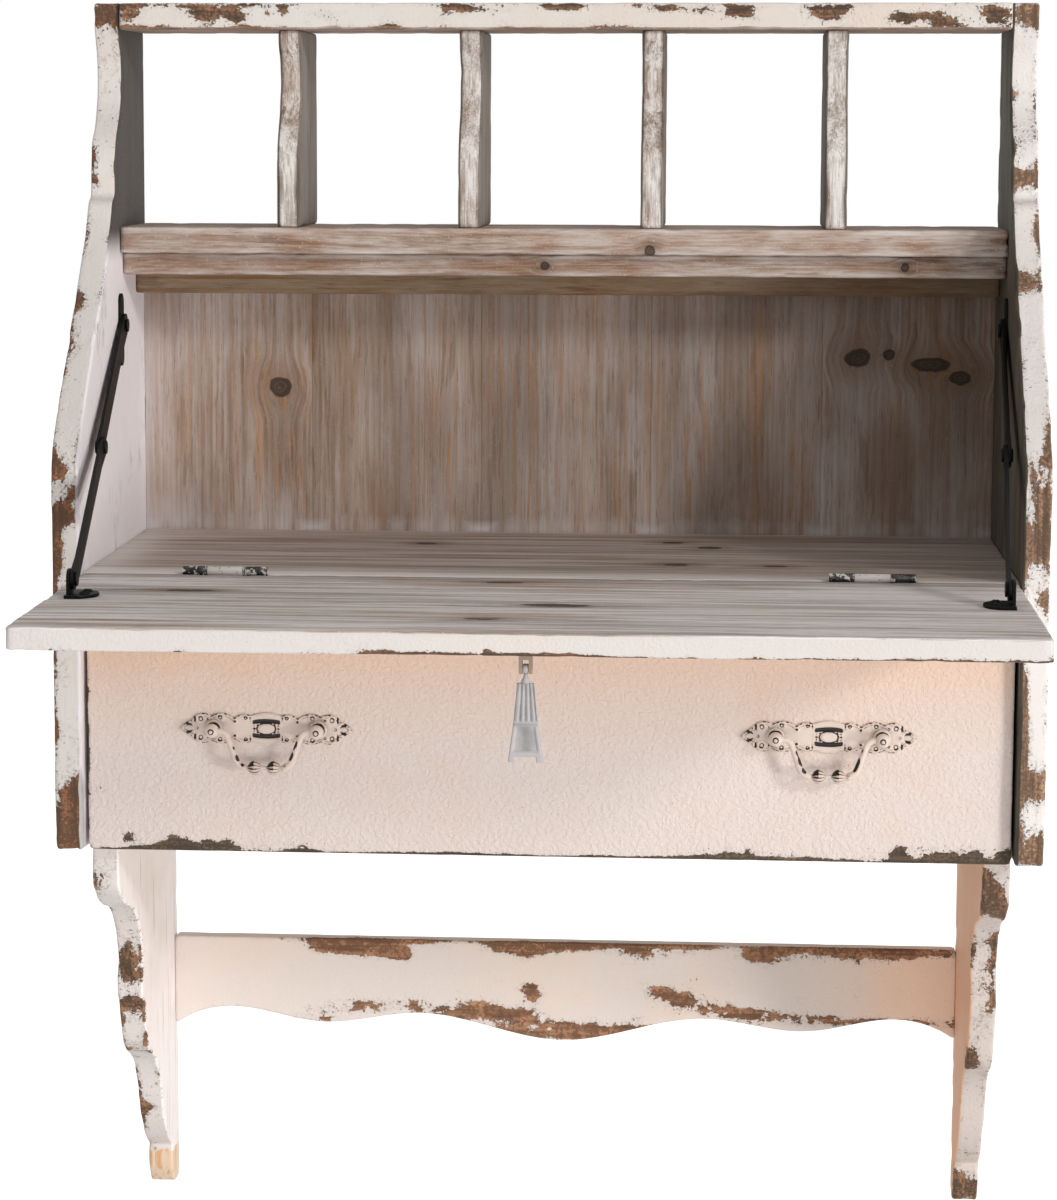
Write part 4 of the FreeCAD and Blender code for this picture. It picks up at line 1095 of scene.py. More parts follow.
@dataclass
class Board:
    """One board, rebuilt from the outline of its node with rounded and knocked edges."""

    node: str
    axis: Axis
    body: Body
    slot: Slot
    faces: BoardFaces
    wear: Wear = field(default_factory=Wear)
    edge_round: float = 1.4 * MM
    step: float = 3 * MM
    pitch: float = 8 * MM
    soften: int = 1
    seed: float = 0.0

    ROUND_ANGLES = (30, 60, 90)
    SUFFIX = "worn"

    def outline(self) -> Outline:
        """Outline of the board seen along its thickness."""
        return Outline.of_node(self.node, self.axis)

    def span(self) -> Pair:
        """Low and high end of the board along its thickness."""
        low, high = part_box(self.node)
        return low[self.axis.value], high[self.axis.value]

    def carving(self, flat: Array, gap: Array) -> tuple[Array, Array]:
        """Height above the low face and hollows at its points; a plain board has none."""
        return np.zeros(len(flat)), np.zeros(len(gap))

    def build(self) -> Piece:
        """Make the board in place of its node.

        Returns:
            The new piece.
        """
        low, high = self.span()
        middle = (low + high) / 2
        half = (high - low) / 2
        reach = min(self.edge_round, 0.9 * half)
        outline = self.outline().resampled(self.step).softened(self.soften)
        rows = [reach * (1 - math.cos(math.radians(angle))) for angle in self.ROUND_ANGLES]
        rows.append(reach + 0.6 * self.step)
        flat, triangles = outline.filled(rows, self.pitch)
        gap = outline.distance(flat)
        count = len(outline.points)
        gap[:count] = 0.0
        inner = np.clip(reach - gap, 0.0, reach)
        drop = reach - np.sqrt(np.maximum(reach * reach - inner * inner, 0.0))
        heights, hollows = self.carving(flat, gap)

        places: list[Vector] = []
        wear: list[float] = []
        chalk: list[float] = []
        recess_and_dark_reflection: list[float] = []
        for side in (1, -1):
            for index, point in enumerate(flat):
                level = half - drop[index]
                place = self.lift(point, middle + side * level)
                wear.append(self.wear.amount(place, float(gap[index])))
                chalk.append(self.wear.chalk_and_painted_shade(place, float(gap[index])))
                level -= self.wear.hollow(place, float(gap[index]))
                level += heights[index] if side < 0 else 0.0
                recess_and_dark_reflection.append(float(hollows[index]) if side < 0 else 0.0)
                places.append(self.lift(point, middle + side * level))
        total = len(flat)
        faces = list(triangles)
        faces += [tuple(total + index for index in reversed(face)) for face in triangles]
        marks = [1] * len(triangles) + [0] * len(triangles)

        columns = [list(range(count))]
        walls = max(2, math.ceil(2 * (half - reach) / self.step))
        for row in range(1, walls):
            level = (half - reach) * (1 - 2 * row / walls)
            column = []
            for point, direction in zip(outline.points, outline.inward()):
                place = self.lift(point, middle + level)
                edge = half - abs(level)
                shifted = point + direction * self.wear.hollow(place, edge)
                column.append(len(places))
                wear.append(self.wear.amount(place, edge))
                chalk.append(self.wear.chalk_and_painted_shade(place, edge))
                recess_and_dark_reflection.append(0.0)
                places.append(self.lift(shifted, middle + level))
            columns.append(column)
        columns.append(list(range(total, total + count)))
        for upper, lower in zip(columns, columns[1:]):
            for index in range(count):
                ahead = (index + 1) % count
                faces.append((upper[index], lower[index], lower[ahead], upper[ahead]))
                marks.append(2)
        return self.assemble(places, faces, marks, {"wear": wear, "chalk": chalk, "recess_and_dark_reflection": recess_and_dark_reflection})

    def lift(self, point: Sequence[float], level: float) -> Vector:
        """Take a point of the outline to a level along the board's thickness.

        Args:
            point: Point of the outline.
            level: Place along the thickness.

        Returns:
            The point in the desk's frame.
        """
        place = Vector((0.0, 0.0, 0.0))
        u, v = self.axis.across
        place[u], place[v], place[self.axis.value] = float(point[0]), float(point[1]), float(level)
        return place

    def assemble(
        self, places: list[Vector], faces: list[tuple], marks: list[int], traits: dict[str, list[float]]
    ) -> Piece:
        """Turn points and faces into the finished piece.

        Args:
            places: Points in the desk's frame.
            faces: Corners of each face.
            marks: 0 for the low face, 1 for the high face, 2 for an edge.
            traits: Numbers for each point that the finishes read, by name.

        Returns:
            The new piece, which stands for the node.
        """
        mesh = bpy.data.meshes.new(f"{self.node}_{self.SUFFIX}")
        mesh.from_pydata(places, [], faces)
        for material in (self.faces.low, self.faces.high, self.faces.edge):
            mesh.materials.append(material)
        mesh.polygons.foreach_set("material_index", marks)
        mesh.polygons.foreach_set("use_smooth", [True] * len(faces))
        for name, values in {**traits, "board_seed": [self.seed] * len(places)}.items():
            store(mesh, name, values)
        mesh.update()
        piece = link_mesh(mesh.name, mesh, self.body)
        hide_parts(self.node)
        return piece


def soft_step(values: Array, low: float, high: float) -> Array:
    """Smooth rise from 0 at low to 1 at high."""
    share = np.clip((values - low) / (high - low), 0.0, 1.0)
    return share * share * (3 - 2 * share)


def swell(values: Array, middle: float, width: float) -> Array:
    """Smooth bump of height 1 about a middle value."""
    return np.exp(-(((values - middle) / width) ** 2))


@dataclass
class PullPlate(Board):
    """Cast plate of a bail pull: rolled rim, scrolls, leaf ends and a medallion between two dark lenses."""

    plate_thickness: float = 1.6 * MM
    panel_half: float = 9.3
    bow: float = 0.012
    lens_middle: float = 4.8
    lens_half: float = 1.25
    moulding_middle: float = 7.2
    bead_middle: float = 8.7
    bead_pitch: float = 1.35
    medallion_half: Pair = (4.8, 2.8)
    scrolls: tuple[tuple[float, float, float], ...] = (
        (12.6, 6.6, 1.7), (19.2, 4.2, 1.1), (28.3, 6.7, 2.0), (40.2, 5.6, 2.3), (36.0, 5.4, 1.1),
    )
    leaf_start: float = 42.5
    leaf_ribs: float = 7.0

    SUFFIX = "carved"

    def span(self) -> Pair:
        """Back of the plate and the level of its field."""
        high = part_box(self.node)[1].y
        return high - self.plate_thickness, high

    def carving(self, flat: Array, gap: Array) -> tuple[Array, Array]:
        """Relief of the cast front, worked out in millimetres from the middle of the plate.

        Args:
            flat: Points of the face as height and side.
            gap: Their distances to the outline.

        Returns:
            Height above the field, and how hollow each point is.
        """
        middle = middle_of(self.node)
        side = np.abs(flat[:, 1] - middle.x) / MM
        rise = np.abs(flat[:, 0] - middle.z) / MM
        edge = gap / MM
        outer = soft_step(side, self.panel_half - 0.3, self.panel_half + 0.5)
        height = 0.5 * swell(edge, 0.9, 0.45) * outer - 0.3 * soft_step(edge, 1.3, 2.4) * outer
        broken = soft_step(np.sin(0.9 * side + 1.3 * rise) + np.sin(2.3 * side - 0.7 * rise), -0.7, 0.7)
        hollow = (0.55 * swell(edge, 1.75, 0.4) + 0.85 * broken * swell(edge, 0.3, 0.4)) * outer

        arch = rise + self.bow * side**2
        inner = 1.0 - soft_step(side, self.panel_half - 1.6, self.panel_half - 0.2)
        lens = np.exp(-(((arch - self.lens_middle) / self.lens_half) ** 4)) * inner
        height += -0.8 * lens + 0.45 * swell(arch, self.moulding_middle, 0.6) * inner
        beads = 0.5 + 0.5 * np.cos(2 * math.pi * side / self.bead_pitch)
        string = swell(arch, self.bead_middle, 0.5) * inner
        height += 0.45 * beads * string
        hollow += 1.15 * lens + 0.45 * (1 - beads) * string
        ring = np.hypot(side / self.medallion_half[0], rise / self.medallion_half[1])
        height += 0.75 * (1.0 - soft_step(ring, 0.88, 1.1))
        splash = soft_step(np.sin(2.7 * side) + np.sin(3.9 * rise + side), -0.3, 0.9) * inner
        hollow += 0.62 * swell(ring, 1.2, 0.13) + 0.9 * splash * swell(ring, 1.5, 0.3)
        hollow += 0.6 * swell(side, self.panel_half + 0.5, 0.4) * soft_step(rise, 2.5, 4.5)

        for x, z, radius in self.scrolls:
            away = np.hypot(side - x, rise - z)
            height += 0.55 * swell(away, radius, 0.42) + 0.4 * swell(away, 0.0, 0.5)
            hollow += 0.85 * swell(away, 0.52 * radius, 0.36) - 0.35 * swell(away, radius, 0.4)
        away = np.hypot(side - self.leaf_start, rise)
        ribs = np.cos(self.leaf_ribs * np.arctan2(rise, side - self.leaf_start))
        leaf = soft_step(away, 2.0, 3.6) * soft_step(side, self.leaf_start, self.leaf_start + 1.2)
        height += 0.45 * ribs * leaf
        hollow += 0.9 * np.clip(-ribs - 0.2, 0.0, 1.0) * leaf
        height += 0.5 * swell(away, 1.5, 0.4)
        hollow += 0.8 * swell(away, 0.7, 0.3)
        return np.clip(height, -1.0, 0.9) * MM, np.clip(hollow, 0.0, 1.2)


@dataclass
class Pendant(Board):
    """Flat tapered pendant of the drop pull: reeded above, a sunk panel below, two round feet."""

    top_half: float = 4.7 * MM
    foot_half: float = 9.6 * MM
    length: float = 43.5 * MM
    depth: float = 3.2 * MM
    notch: float = 3.0 * MM
    foot: float = 3.6 * MM
    reeds: int = 5
    waist: float = 0.5 * MM

    SUFFIX = "cast"

    def span(self) -> Pair:
        """Front and back of the pendant, about the middle of its node."""
        middle = middle_of(self.node).y
        return middle - self.depth / 2, middle + self.depth / 2

    def outline(self) -> Outline:
        """Tapered sides that draw in a little at the waist, and a notch between the feet.

        Returns:
            The outline, anticlockwise.
        """
        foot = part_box(self.node)[0].z
        shares = np.linspace(0.0, 1.0, 15)
        right = self.foot_half + (self.top_half - self.foot_half) * shares
        right -= self.waist * np.sin(math.pi * shares)
        side = np.stack([foot + self.length * shares, right], axis=1)
        other = np.stack([side[::-1, 0], -side[::-1, 1]], axis=1)
        inner = self.foot_half - self.foot
        notch = [(foot, -inner), (foot + self.notch, -inner), (foot + self.notch, inner), (foot, inner)]
        points = np.concatenate([side[::-1], np.array(notch[::-1]), other[::-1]])
        points[:, 1] += middle_of(self.node).x
        return Outline(points if Outline.area_of(points) > 0 else points[::-1])

    def carving(self, flat: Array, gap: Array) -> tuple[Array, Array]:
        """Reeds and sunk panel of the front.

        Args:
            flat: Points of the face as height and side.
            gap: Their distances to the outline.

        Returns:
            Height above the face, and how hollow each point is.
        """
        rise = (flat[:, 0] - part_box(self.node)[0].z) / self.length
        side = flat[:, 1] - middle_of(self.node).x
        half = self.foot_half + (self.top_half - self.foot_half) * rise
        upper = soft_step(rise, 0.50, 0.54)
        reed = 0.5 + 0.5 * np.cos(self.reeds * math.pi * (side / half * 0.92 + 1.0))
        height = -0.75 * MM * (1 - reed) * upper * soft_step(gap, 0.3 * MM, 1.0 * MM)
        hollow = 0.75 * (1 - reed) ** 2 * upper
        sunk = soft_step(gap, 1.5 * MM, 2.3 * MM) * (1 - soft_step(rise, 0.44, 0.47))
        sunk *= soft_step(rise, 0.12, 0.16)
        height -= 0.8 * MM * sunk
        hollow += 0.55 * sunk * swell(side / half, 0.0, 0.55)
        hollow += 0.5 * swell(rise, 0.48, 0.02)
        return height, hollow


def ring_faces(rows: int, sides: int) -> Faces:
    """Faces between rings of points, with a cap at each end.

    Args:
        rows: Number of rings.
        sides: Points of each ring.

    Returns:
        Corners of each face.
    """
    faces: Faces = []
    for row in range(rows - 1):
        for turn in range(sides):
            ahead = (turn + 1) % sides
            low, high = row * sides, (row + 1) * sides
            faces.append((low + turn, low + ahead, high + ahead, high + turn))
    faces.append(tuple(reversed(range(sides))))
    faces.append(tuple(range((rows - 1) * sides, rows * sides)))
    return faces


@dataclass
class Turning:
    """Round piece turned about an axis: rows of radius, level and hollow, and a cross slot if any."""

    axis: Axis
    profile: tuple[tuple[float, float, float], ...]
    sides: int = 32
    slot_half: float = 0.0
    slot_reach: float = 0.0
    slot_depth: float = 0.0

    def rings(self, centre: Vector) -> tuple[list[Vector], Faces, list[float]]:
        """Points, faces and hollows of one turned piece.

        Args:
            centre: Place of the profile's zero on the axis.

        Returns:
            The points, the faces, and how hollow each point is.
        """
        places: list[Vector] = []
        hollows: list[float] = []
        u, v = self.axis.across
        for radius, level, hollow in self.profile:
            for turn in range(self.sides):
                angle = 2 * math.pi * (turn + 0.5) / self.sides
                across = radius * min(abs(math.cos(angle)), abs(math.sin(angle)))
                cut = level > 0.0 and radius < self.slot_reach and across < self.slot_half
                place = centre.copy()
                place[self.axis.value] += level - (self.slot_depth if cut else 0.0)
                place[u] += radius * math.cos(angle)
                place[v] += radius * math.sin(angle)
                places.append(place)
                hollows.append(1.0 if cut else hollow)
        return places, ring_faces(len(self.profile), self.sides), hollows


@dataclass(frozen=True)
class Casting:
    """A smooth piece of one material, whose finish reads how hollow each point is, and on a bail its painted
    dark reflection.
    """

    name: str
    material: Material
    body: Body
    slot: Slot = Slot.CASTING

    def turned(self, turnings: Sequence[tuple[Turning, Vector]]) -> Piece:
        """Make the piece of turned parts.

        Args:
            turnings: Each turned part with its place.

        Returns:
            The new piece.
        """
        places: list[Vector] = []
        faces: Faces = []
        hollows: list[float] = []
        for turning, centre in turnings:
            start = len(places)
            points, corners, depths = turning.rings(centre)
            places += points
            faces += [tuple(start + index for index in corner) for corner in corners]
            hollows += depths
        return self.shaped(places, faces, hollows)

    def shaped(self, places: list[Vector], faces: Faces, hollows: list[float]) -> Piece:
        """Make the piece of points and faces.

        Args:
            places: Points in the desk's frame.
            faces: Corners of each face.
            hollows: How hollow each point is, and on a bail how dark its painted reflection is.

        Returns:
            The new piece.
        """
        mesh = bpy.data.meshes.new(self.name)
        mesh.from_pydata(places, [], faces)
        mesh.materials.append(self.material)
        work = bmesh.new()
        work.from_mesh(mesh)
        bmesh.ops.recalc_face_normals(work, faces=work.faces)
        work.to_mesh(mesh)
        work.free()
        mesh.polygons.foreach_set("use_smooth", [len(polygon.vertices) < 5 for polygon in mesh.polygons])
        store(mesh, "recess_and_dark_reflection", hollows)
        mesh.update()
        return link_mesh(self.name, mesh, self.body)


@dataclass
class Bail:
    """Swan-neck bail: arms that swell downwards, and two reeded beads on its bar."""

    node: str
    body: Body
    material: Material
    shoulder_half: float = 23.5 * MM
    bar_half: float = 15.5 * MM
    shoulder_radius: float = 4.0 * MM
    corner_radius: float = 5.5 * MM
    neck_radius: float = 1.75 * MM
    arm_radius: float = 2.35 * MM
    bar_radius: float = 1.3 * MM
    bead_radius: float = 4.6 * MM
    bead_half: float = 4.1 * MM
    bead_offset: float = 5.9 * MM
    axis_below_top: float = 1.9 * MM
    bar_above_foot: float = 4.7 * MM
    pinch_start: float = 1.4 * MM
    pinch_reach: float = 1.2 * MM
    reed_depth: float = 0.13
    reeds: int = 11
    sides: int = 33
    step: float = 0.55 * MM

    def rounded(self, points: Sequence[Vector], radii: Sequence[float]) -> list[Vector]:
        """A path through points with its corners rounded.

        Args:
            points: Corners of the path.
            radii: Radius at each inner corner.

        Returns:
            Even points along the path.
        """
        path = [points[0].copy()]
        for before, corner, after, radius in zip(points, points[1:], points[2:], radii):
            back = (before - corner).normalized()
            ahead = (after - corner).normalized()
            start, end = corner + back * radius, corner + ahead * radius
            for turn in range(9):
                share = turn / 8
                path.append((1 - share) ** 2 * start + 2 * share * (1 - share) * corner + share**2 * end)
        path.append(points[-1].copy())
        bends = np.array([tuple(point) for point in path])
        lengths = np.concatenate([[0.0], np.cumsum(np.linalg.norm(np.diff(bends, axis=0), axis=1))])
        stops = np.linspace(0.0, lengths[-1], math.ceil(lengths[-1] / self.step))
        columns = [np.interp(stops, lengths, bends[:, k]) for k in range(3)]
        return [Vector([float(value) for value in place]) for place in zip(*columns)]

    def build(self) -> Piece:
        """Sweep the bail in place of its node.

        Returns:
            The new piece.
        """
        low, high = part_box(self.node)
        middle = Vector(((low.x + high.x) / 2, (low.y + high.y) / 2, high.z - self.axis_below_top))
        bar_z = low.z + self.bar_above_foot - middle.z
        sides = ((high.x - low.x) / 2, 0.0), (self.shoulder_half, 0.0), (self.bar_half, bar_z)
        corners = [Vector((-x, 0, z)) for x, z in sides] + [Vector((x, 0, z)) for x, z in sides[::-1]]
        radii = (self.shoulder_radius, self.corner_radius, self.corner_radius, self.shoulder_radius)
        path = self.rounded(corners, radii)
        places: list[Vector] = []
        hollows: list[float] = []
        for index, point in enumerate(path):
            along = (path[min(index + 1, len(path) - 1)] - path[max(index - 1, 0)]).normalized()
            normal = Vector((-along.z, 0, along.x))
            radius, bead = self.radius_at(point, bar_z)
            outward = math.copysign(1.0, point.x)
            past = math.copysign(1.0, point.x - outward * self.bead_offset)
            ragged = 0.6 + noise.noise((middle + point) * 230.0)
            fall = min(1.0, max(0.0, point.z / bar_z - 0.12) * 4)
            for turn in range(self.sides):
                angle = 2 * math.pi * turn / self.sides
                groove = 0.5 + 0.5 * math.cos(self.reeds * angle)
                size = radius * (1 - self.reed_depth * bead * groove)
                way = normal * math.sin(angle) + Vector((0, -1, 0)) * math.cos(angle)
                # Painted dark reflection, partly antique black: a streak on the front inner side of each arm;
                # the beads are darker on top
                streak = max(0.0, 0.4 - 0.75 * way.x * outward) ** 2 * max(0.0, -way.y)
                top = max(0.0, way.z - 0.6 * past)
                black = streak * ragged * fall * 2.2
                hollows.append(bead * (0.6 * groove + 0.3 * top) + (1 - bead) * black)
                places.append(middle + point + way * size)
        faces = ring_faces(len(path), self.sides)
        piece = Casting(f"{self.node}_cast", self.material, self.body).shaped(places, faces, hollows)
        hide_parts(self.node)
        return piece

    def radius_at(self, point: Vector, bar_z: float) -> Pair:
        """Radius of the bail at a point of its path.

        Args:
            point: Point from the middle of the bail's axis.
            bar_z: Level of the bar.

        Returns:
            The radius, and 1 on a bead or 0 elsewhere.
        """
        fall = min(max(point.z / bar_z, 0.0), 1.0)
        arm = self.neck_radius + (self.arm_radius - self.neck_radius) * fall
        side = abs(point.x)
        tip = self.bead_offset + self.bead_half + self.pinch_start
        if side < tip and fall > 0.9:
            pinch = min(max((tip - side) / self.pinch_reach, 0.0), 1.0)
            arm = arm + (self.bar_radius - arm) * pinch
        away = (side - self.bead_offset) / self.bead_half
        if fall > 0.9 and abs(away) < 1.0:
            return max(arm, self.bead_radius * (1 - away**2) ** 0.55), 1.0
        return arm, 0.0


def dress(node: str, material: Material, bevel: float = 0.0) -> Piece:
    """Give a CAD node its finish.

    Args:
        node: Name of the node.
        material: Finish for the whole node.
        bevel: Width of a small bevel on its sharp edges, or 0 for none.

    Returns:
        The node's object.
    """
    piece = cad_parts[node]
    piece.data.materials.clear()
    piece.data.materials.append(material)
    if bevel > 0.0:
        weld = piece.modifiers.new("Weld", "WELD")
        weld.merge_threshold = TOUCH / 4
        soft = piece.modifiers.new("Bevel", "BEVEL")
        soft.width = bevel
        soft.segments = 2
        soft.limit_method = "ANGLE"
        soft.angle_limit = SHARP_ANGLE
    return piece


def soft_spots(rows: Rows) -> tuple[Spot, ...]:
    """Spots from rows of place, reach and weight, in millimetres."""
    return tuple(Spot.of_row(row) for row in rows)


def spots(rows: Rows, depth: float, depth_reach: float) -> tuple[Spot, ...]:
    """Worn spots on a face or edge that looks to the front.

    Args:
        rows: X, Z, reach in X, reach in Z and weight of each spot, in millimetres.
        depth: Y of the spots, in millimetres.
        depth_reach: Reach in Y, in millimetres.

    Returns:
        The spots in metres.
    """
    return tuple(
        Spot.of_row((x, depth, z, reach_x, depth_reach, reach_z, weight))
        for x, z, reach_x, reach_z, weight in rows
    )


def edge_spots(node: str, rows: Rows, window: float, default: float) -> tuple[Spot, ...]:
    """Worn spots on the front edge of an upright board, which follow its outline.

    Args:
        node: Name of the board's node.
        rows: X, Z, reach in X, reach in Z and weight of each spot, in millimetres.
        window: How far above and below a spot the front of the outline is looked for.
        default: Y of a spot where the outline has no point in that window.

    Returns:
        The spots in metres.
    """
    points = Outline.of_node(node, Axis.X).points
    made: tuple[Spot, ...] = ()
    for row in rows:
        near = points[np.abs(points[:, 1] - row[1] * MM) < window]
        front = float(near[:, 0].min()) if len(near) else default
        made += spots((row,), front / MM, EDGE_SPOT_DEPTH / MM)
    return made


@dataclass
class Assembly:
    """A sub-assembly of the desk, which shares its materials with the others."""

    made: dict[str, Material]

    def use(self, finish: Finish) -> Material:
        """The material of a finish, made when it is first asked for.

        Args:
            finish: Finish to look up.

        Returns:
            The shared material.
        """
        if finish.name not in self.made:
            self.made[finish.name] = finish.material()
        return self.made[finish.name]

    def build(self) -> None:
        """Make and dress the pieces."""
        raise NotImplementedError


PANEL_PAINT = PaintFinish(
    "chipped_paint_upright", Axis.Z, pale=(0.80, 0.768, 0.748), blush_share=0.05, split_share=0.3,
    pit_share=0.03, bare=(0.30, 0.135, 0.073), bare_dark=(0.10, 0.058, 0.036), thin_share=0.55,
)
RIGHT_PANEL_PAINT = replace(
    PANEL_PAINT, name="chipped_paint_right", pale=(0.86, 0.825, 0.815), bare=(0.38, 0.23, 0.15),
    bare_dark=(0.13, 0.08, 0.052),
)
RAIL_PAINT = PaintFinish(
    "chipped_paint_level", Axis.X, pale=(0.80, 0.785, 0.755), blush_share=0.2, pit_share=0.01
)
LID_PAINT = PaintFinish(
    "lid_edge_paint", Axis.X, pale=(0.74, 0.71, 0.70), blush_share=0.0, bare=(0.22, 0.12, 0.075)
)
# Painted shade: the blush colour, laid at the stretcher's right end by its chalk spots, stands for the warm
# shadow of the right leg
STRETCHER_PAINT = PaintFinish(
    "stretcher_paint", Axis.X, pale=(0.82, 0.755, 0.725), blush=(0.95, 0.72, 0.57), blush_share=0.05,
    bare=(0.42, 0.225, 0.13), bare_dark=(0.17, 0.088, 0.052),
)
# Painted shade: the blush colour rises over the top of the drawer front, under the lid, as the lid's warm
# shadow
DRAWER_PAINT = PaintFinish(
    "crinkled_paint", Axis.X, pale=(0.77, 0.685, 0.655), blush=(0.79, 0.535, 0.38), blush_share=0.0,
    bare=(0.145, 0.10, 0.066), bare_dark=(0.055, 0.043, 0.032), peel=0.3 * MM, peel_scale=430.0,
    painted_shade_blush_span=(-0.43, -0.33),
)
LEG_PAINT = PaintFinish(
    "chipped_leg_paint", Axis.Z, pale=(0.81, 0.765, 0.75), blush_share=0.1, split_share=0.6,
    split_from=-0.2, foot_level=-0.737, thin_share=0.5,
)
# Painted shade: a warm peach copy of the leg paint for the right leg's inner face, which turns away from the
# lamps
SHADE_PAINT = PaintFinish(
    "painted_shade_leg_paint", Axis.Z, pale=(0.95, 0.63, 0.46), blush=(0.88, 0.52, 0.34), blush_share=0.4,
    split_share=0.5,
)
# Painted light: a brighter copy of the leg paint for the left leg's inner face, which faces the lamps
LEFT_LEG_INSIDE_LIGHT = replace(
    LEG_PAINT, name="chipped_leg_inside_painted_light", pale=(1.0, 0.95, 0.95), split_share=0.9, thin_share=0.3
)
RIGHT_LEG_PAINT = replace(
    LEG_PAINT, name="chipped_right_leg_paint", pale=(0.69, 0.62, 0.59), foot_level=None
)
BACK_KNOTS = (
    Knot((-0.191, -0.008, -0.214), 7 * MM),
    Knot((0.193, -0.008, -0.192), 8 * MM, (1.2, 0.9)),
    Knot((0.2135, -0.008, -0.1895), 4 * MM),
    Knot((0.2405, -0.008, -0.196), 9 * MM, (1.7, 0.7)),
    Knot((0.2604, -0.008, -0.2045), 6 * MM, (1.3, 0.8)),
)
BACK_PINE = PineFinish(
    "washed_back_pine", Axis.Z, heart=(0.40, 0.265, 0.18), late=(0.60, 0.32, 0.15), wash=(0.64, 0.58, 0.56),
    wash_share=0.85, cloud=(3.0, 10.0), fibre=(12.0, 420.0), knots=BACK_KNOTS, line_share=1.0,
    line_pitch=2.6 * MM, stain_share=0.6, fleck_share=0.12, sound_lines=0.35, chalk=(0.66, 0.62, 0.62),
)
LEVEL_PINE = PineFinish(
    "washed_desk_pine", Axis.X, heart=(0.50, 0.375, 0.295), late=(0.24, 0.16, 0.11),
    wash=(0.90, 0.86, 0.86), wash_share=1.25, cloud=(4.0, 95.0), fibre=(9.0, 300.0), streak=(6.0, 170.0),
    line_share=0.3, stain_share=0.18,
    knots=(
        Knot((0.011, -0.366, -0.31), 6 * MM, (0.3, 1.2)),
        Knot((-0.027, -0.426, -0.31), 4 * MM, (0.4, 1.2)),
        Knot((-0.024, -0.270, -0.31), 4 * MM, (0.35, 1.0)),
        Knot((-0.205, -0.32, -0.31), 4.5 * MM, (0.3, 1.0)),
    ),
)
FLOOR_PINE = replace(
    LEVEL_PINE, name="washed_floor_pine", heart=(0.36, 0.25, 0.175), wash=(0.64, 0.58, 0.555),
    wash_share=0.85,
    knots=(
        Knot((-0.087, -0.079, -0.31), 4 * MM, (0.6, 0.8)),
        Knot((0.073, -0.06, -0.31), 4.5 * MM, (0.6, 0.8)),
        Knot((0.097, -0.086, -0.31), 5 * MM, (0.6, 0.7)),
        Knot((0.077, -0.176, -0.31), 4.5 * MM, (0.6, 0.8)),
        Knot((0.138, -0.178, -0.31), 4 * MM, (0.5, 0.9)),
    ),
)
RAIL_PINE = PineFinish(
    "washed_rail_pine", Axis.X, heart=(0.37, 0.205, 0.12), late=(0.24, 0.12, 0.065), wash=(0.65, 0.58, 0.54),
    wash_share=0.8, cloud=(14.0, 60.0), fibre=(60.0, 700.0), fleck_share=0.6,
    knots=(
        Knot((0.057, -0.1, -0.119), 3.5 * MM), Knot((0.219, -0.09, -0.129), 3 * MM),
        Knot((-0.01, -0.09, -0.129), 3 * MM),
    ),
)
HANGING_PINE = PineFinish(
    "dim_rail_pine", Axis.X, heart=(0.37, 0.235, 0.135), late=(0.30, 0.16, 0.07), wash=(0.48, 0.385, 0.29),
    wash_share=0.6, fleck_share=0.15,
)
# Painted light and shade: a near-white wash on the left panel's inside, which faces the lamps, and above the
# shelf its dark unwashed heart as painted shade
LEFT_INSIDE_LIGHT_AND_SHADE = PineFinish(
    "washed_left_inside_painted_light_and_shade", Axis.Z, heart=(0.075, 0.066, 0.056), late=(0.10, 0.075, 0.055),
    wash=(0.92, 0.88, 0.92), wash_share=6.0, cloud=(6.0, 14.0), line_share=0.1, streak_share=0.03,
    stain_share=0.05, fleck_share=0.1, painted_shade_span=(-0.128, -0.105),
)
# Painted shade: a dark wash on the right panel's inside, which turns away from the lamps
RIGHT_INSIDE_SHADE = PineFinish(
    "washed_right_inside_painted_shade", Axis.Z, heart=(0.10, 0.085, 0.065), late=(0.07, 0.05, 0.035),
    wash=(0.27, 0.265, 0.215), wash_share=0.6, fleck_share=0.1,
)
# Painted shade: a darker wash for the divider sides, which stand in the shade of the pigeonholes
DIVIDER_SIDE_SHADE = PineFinish(
    "washed_divider_side_painted_shade", Axis.Z, heart=(0.20, 0.16, 0.13), late=(0.13, 0.10, 0.075),
    wash=(0.34, 0.31, 0.29), wash_share=0.6,
)
DIVIDER_FRONT = PineFinish(
    "washed_divider_front", Axis.Z, heart=(0.34, 0.235, 0.175), late=(0.24, 0.15, 0.10),
    wash=(0.85, 0.82, 0.80), wash_share=1.05, cloud=(20.0, 70.0), stain_share=0.2,
)
RAW_PINE = PineFinish(
    "raw_pine", Axis.X, heart=(0.52, 0.36, 0.21), late=(0.36, 0.21, 0.10), wash=(0.60, 0.46, 0.31),
    wash_share=0.5,
)
IRON = IronFinish("black_lacquer")
HINGE_DARK = SteelFinish("hinge_end_knuckles", (0.10, 0.10, 0.10), (0.03, 0.03, 0.028), paint_share=0.25)
HINGE_PAINTED = SteelFinish("hinge_middle_knuckle", (0.30, 0.30, 0.29), (0.08, 0.08, 0.075), paint_share=0.85)
ZINC = SteelFinish("zinc_plate", (0.62, 0.63, 0.65), (0.42, 0.43, 0.45))
CASTING = CastingFinish("washed_casting")
PENDANT_CASTING = CastingFinish(
    "silvered_casting", (0.47, 0.46, 0.47), (0.27, 0.27, 0.285), (0.11, 0.12, 0.14), 0.45, 0.7
)
BRONZE = CastingFinish("dark_bronze", (0.34, 0.26, 0.20), (0.10, 0.062, 0.038), (0.010, 0.008, 0.007), 1.0)


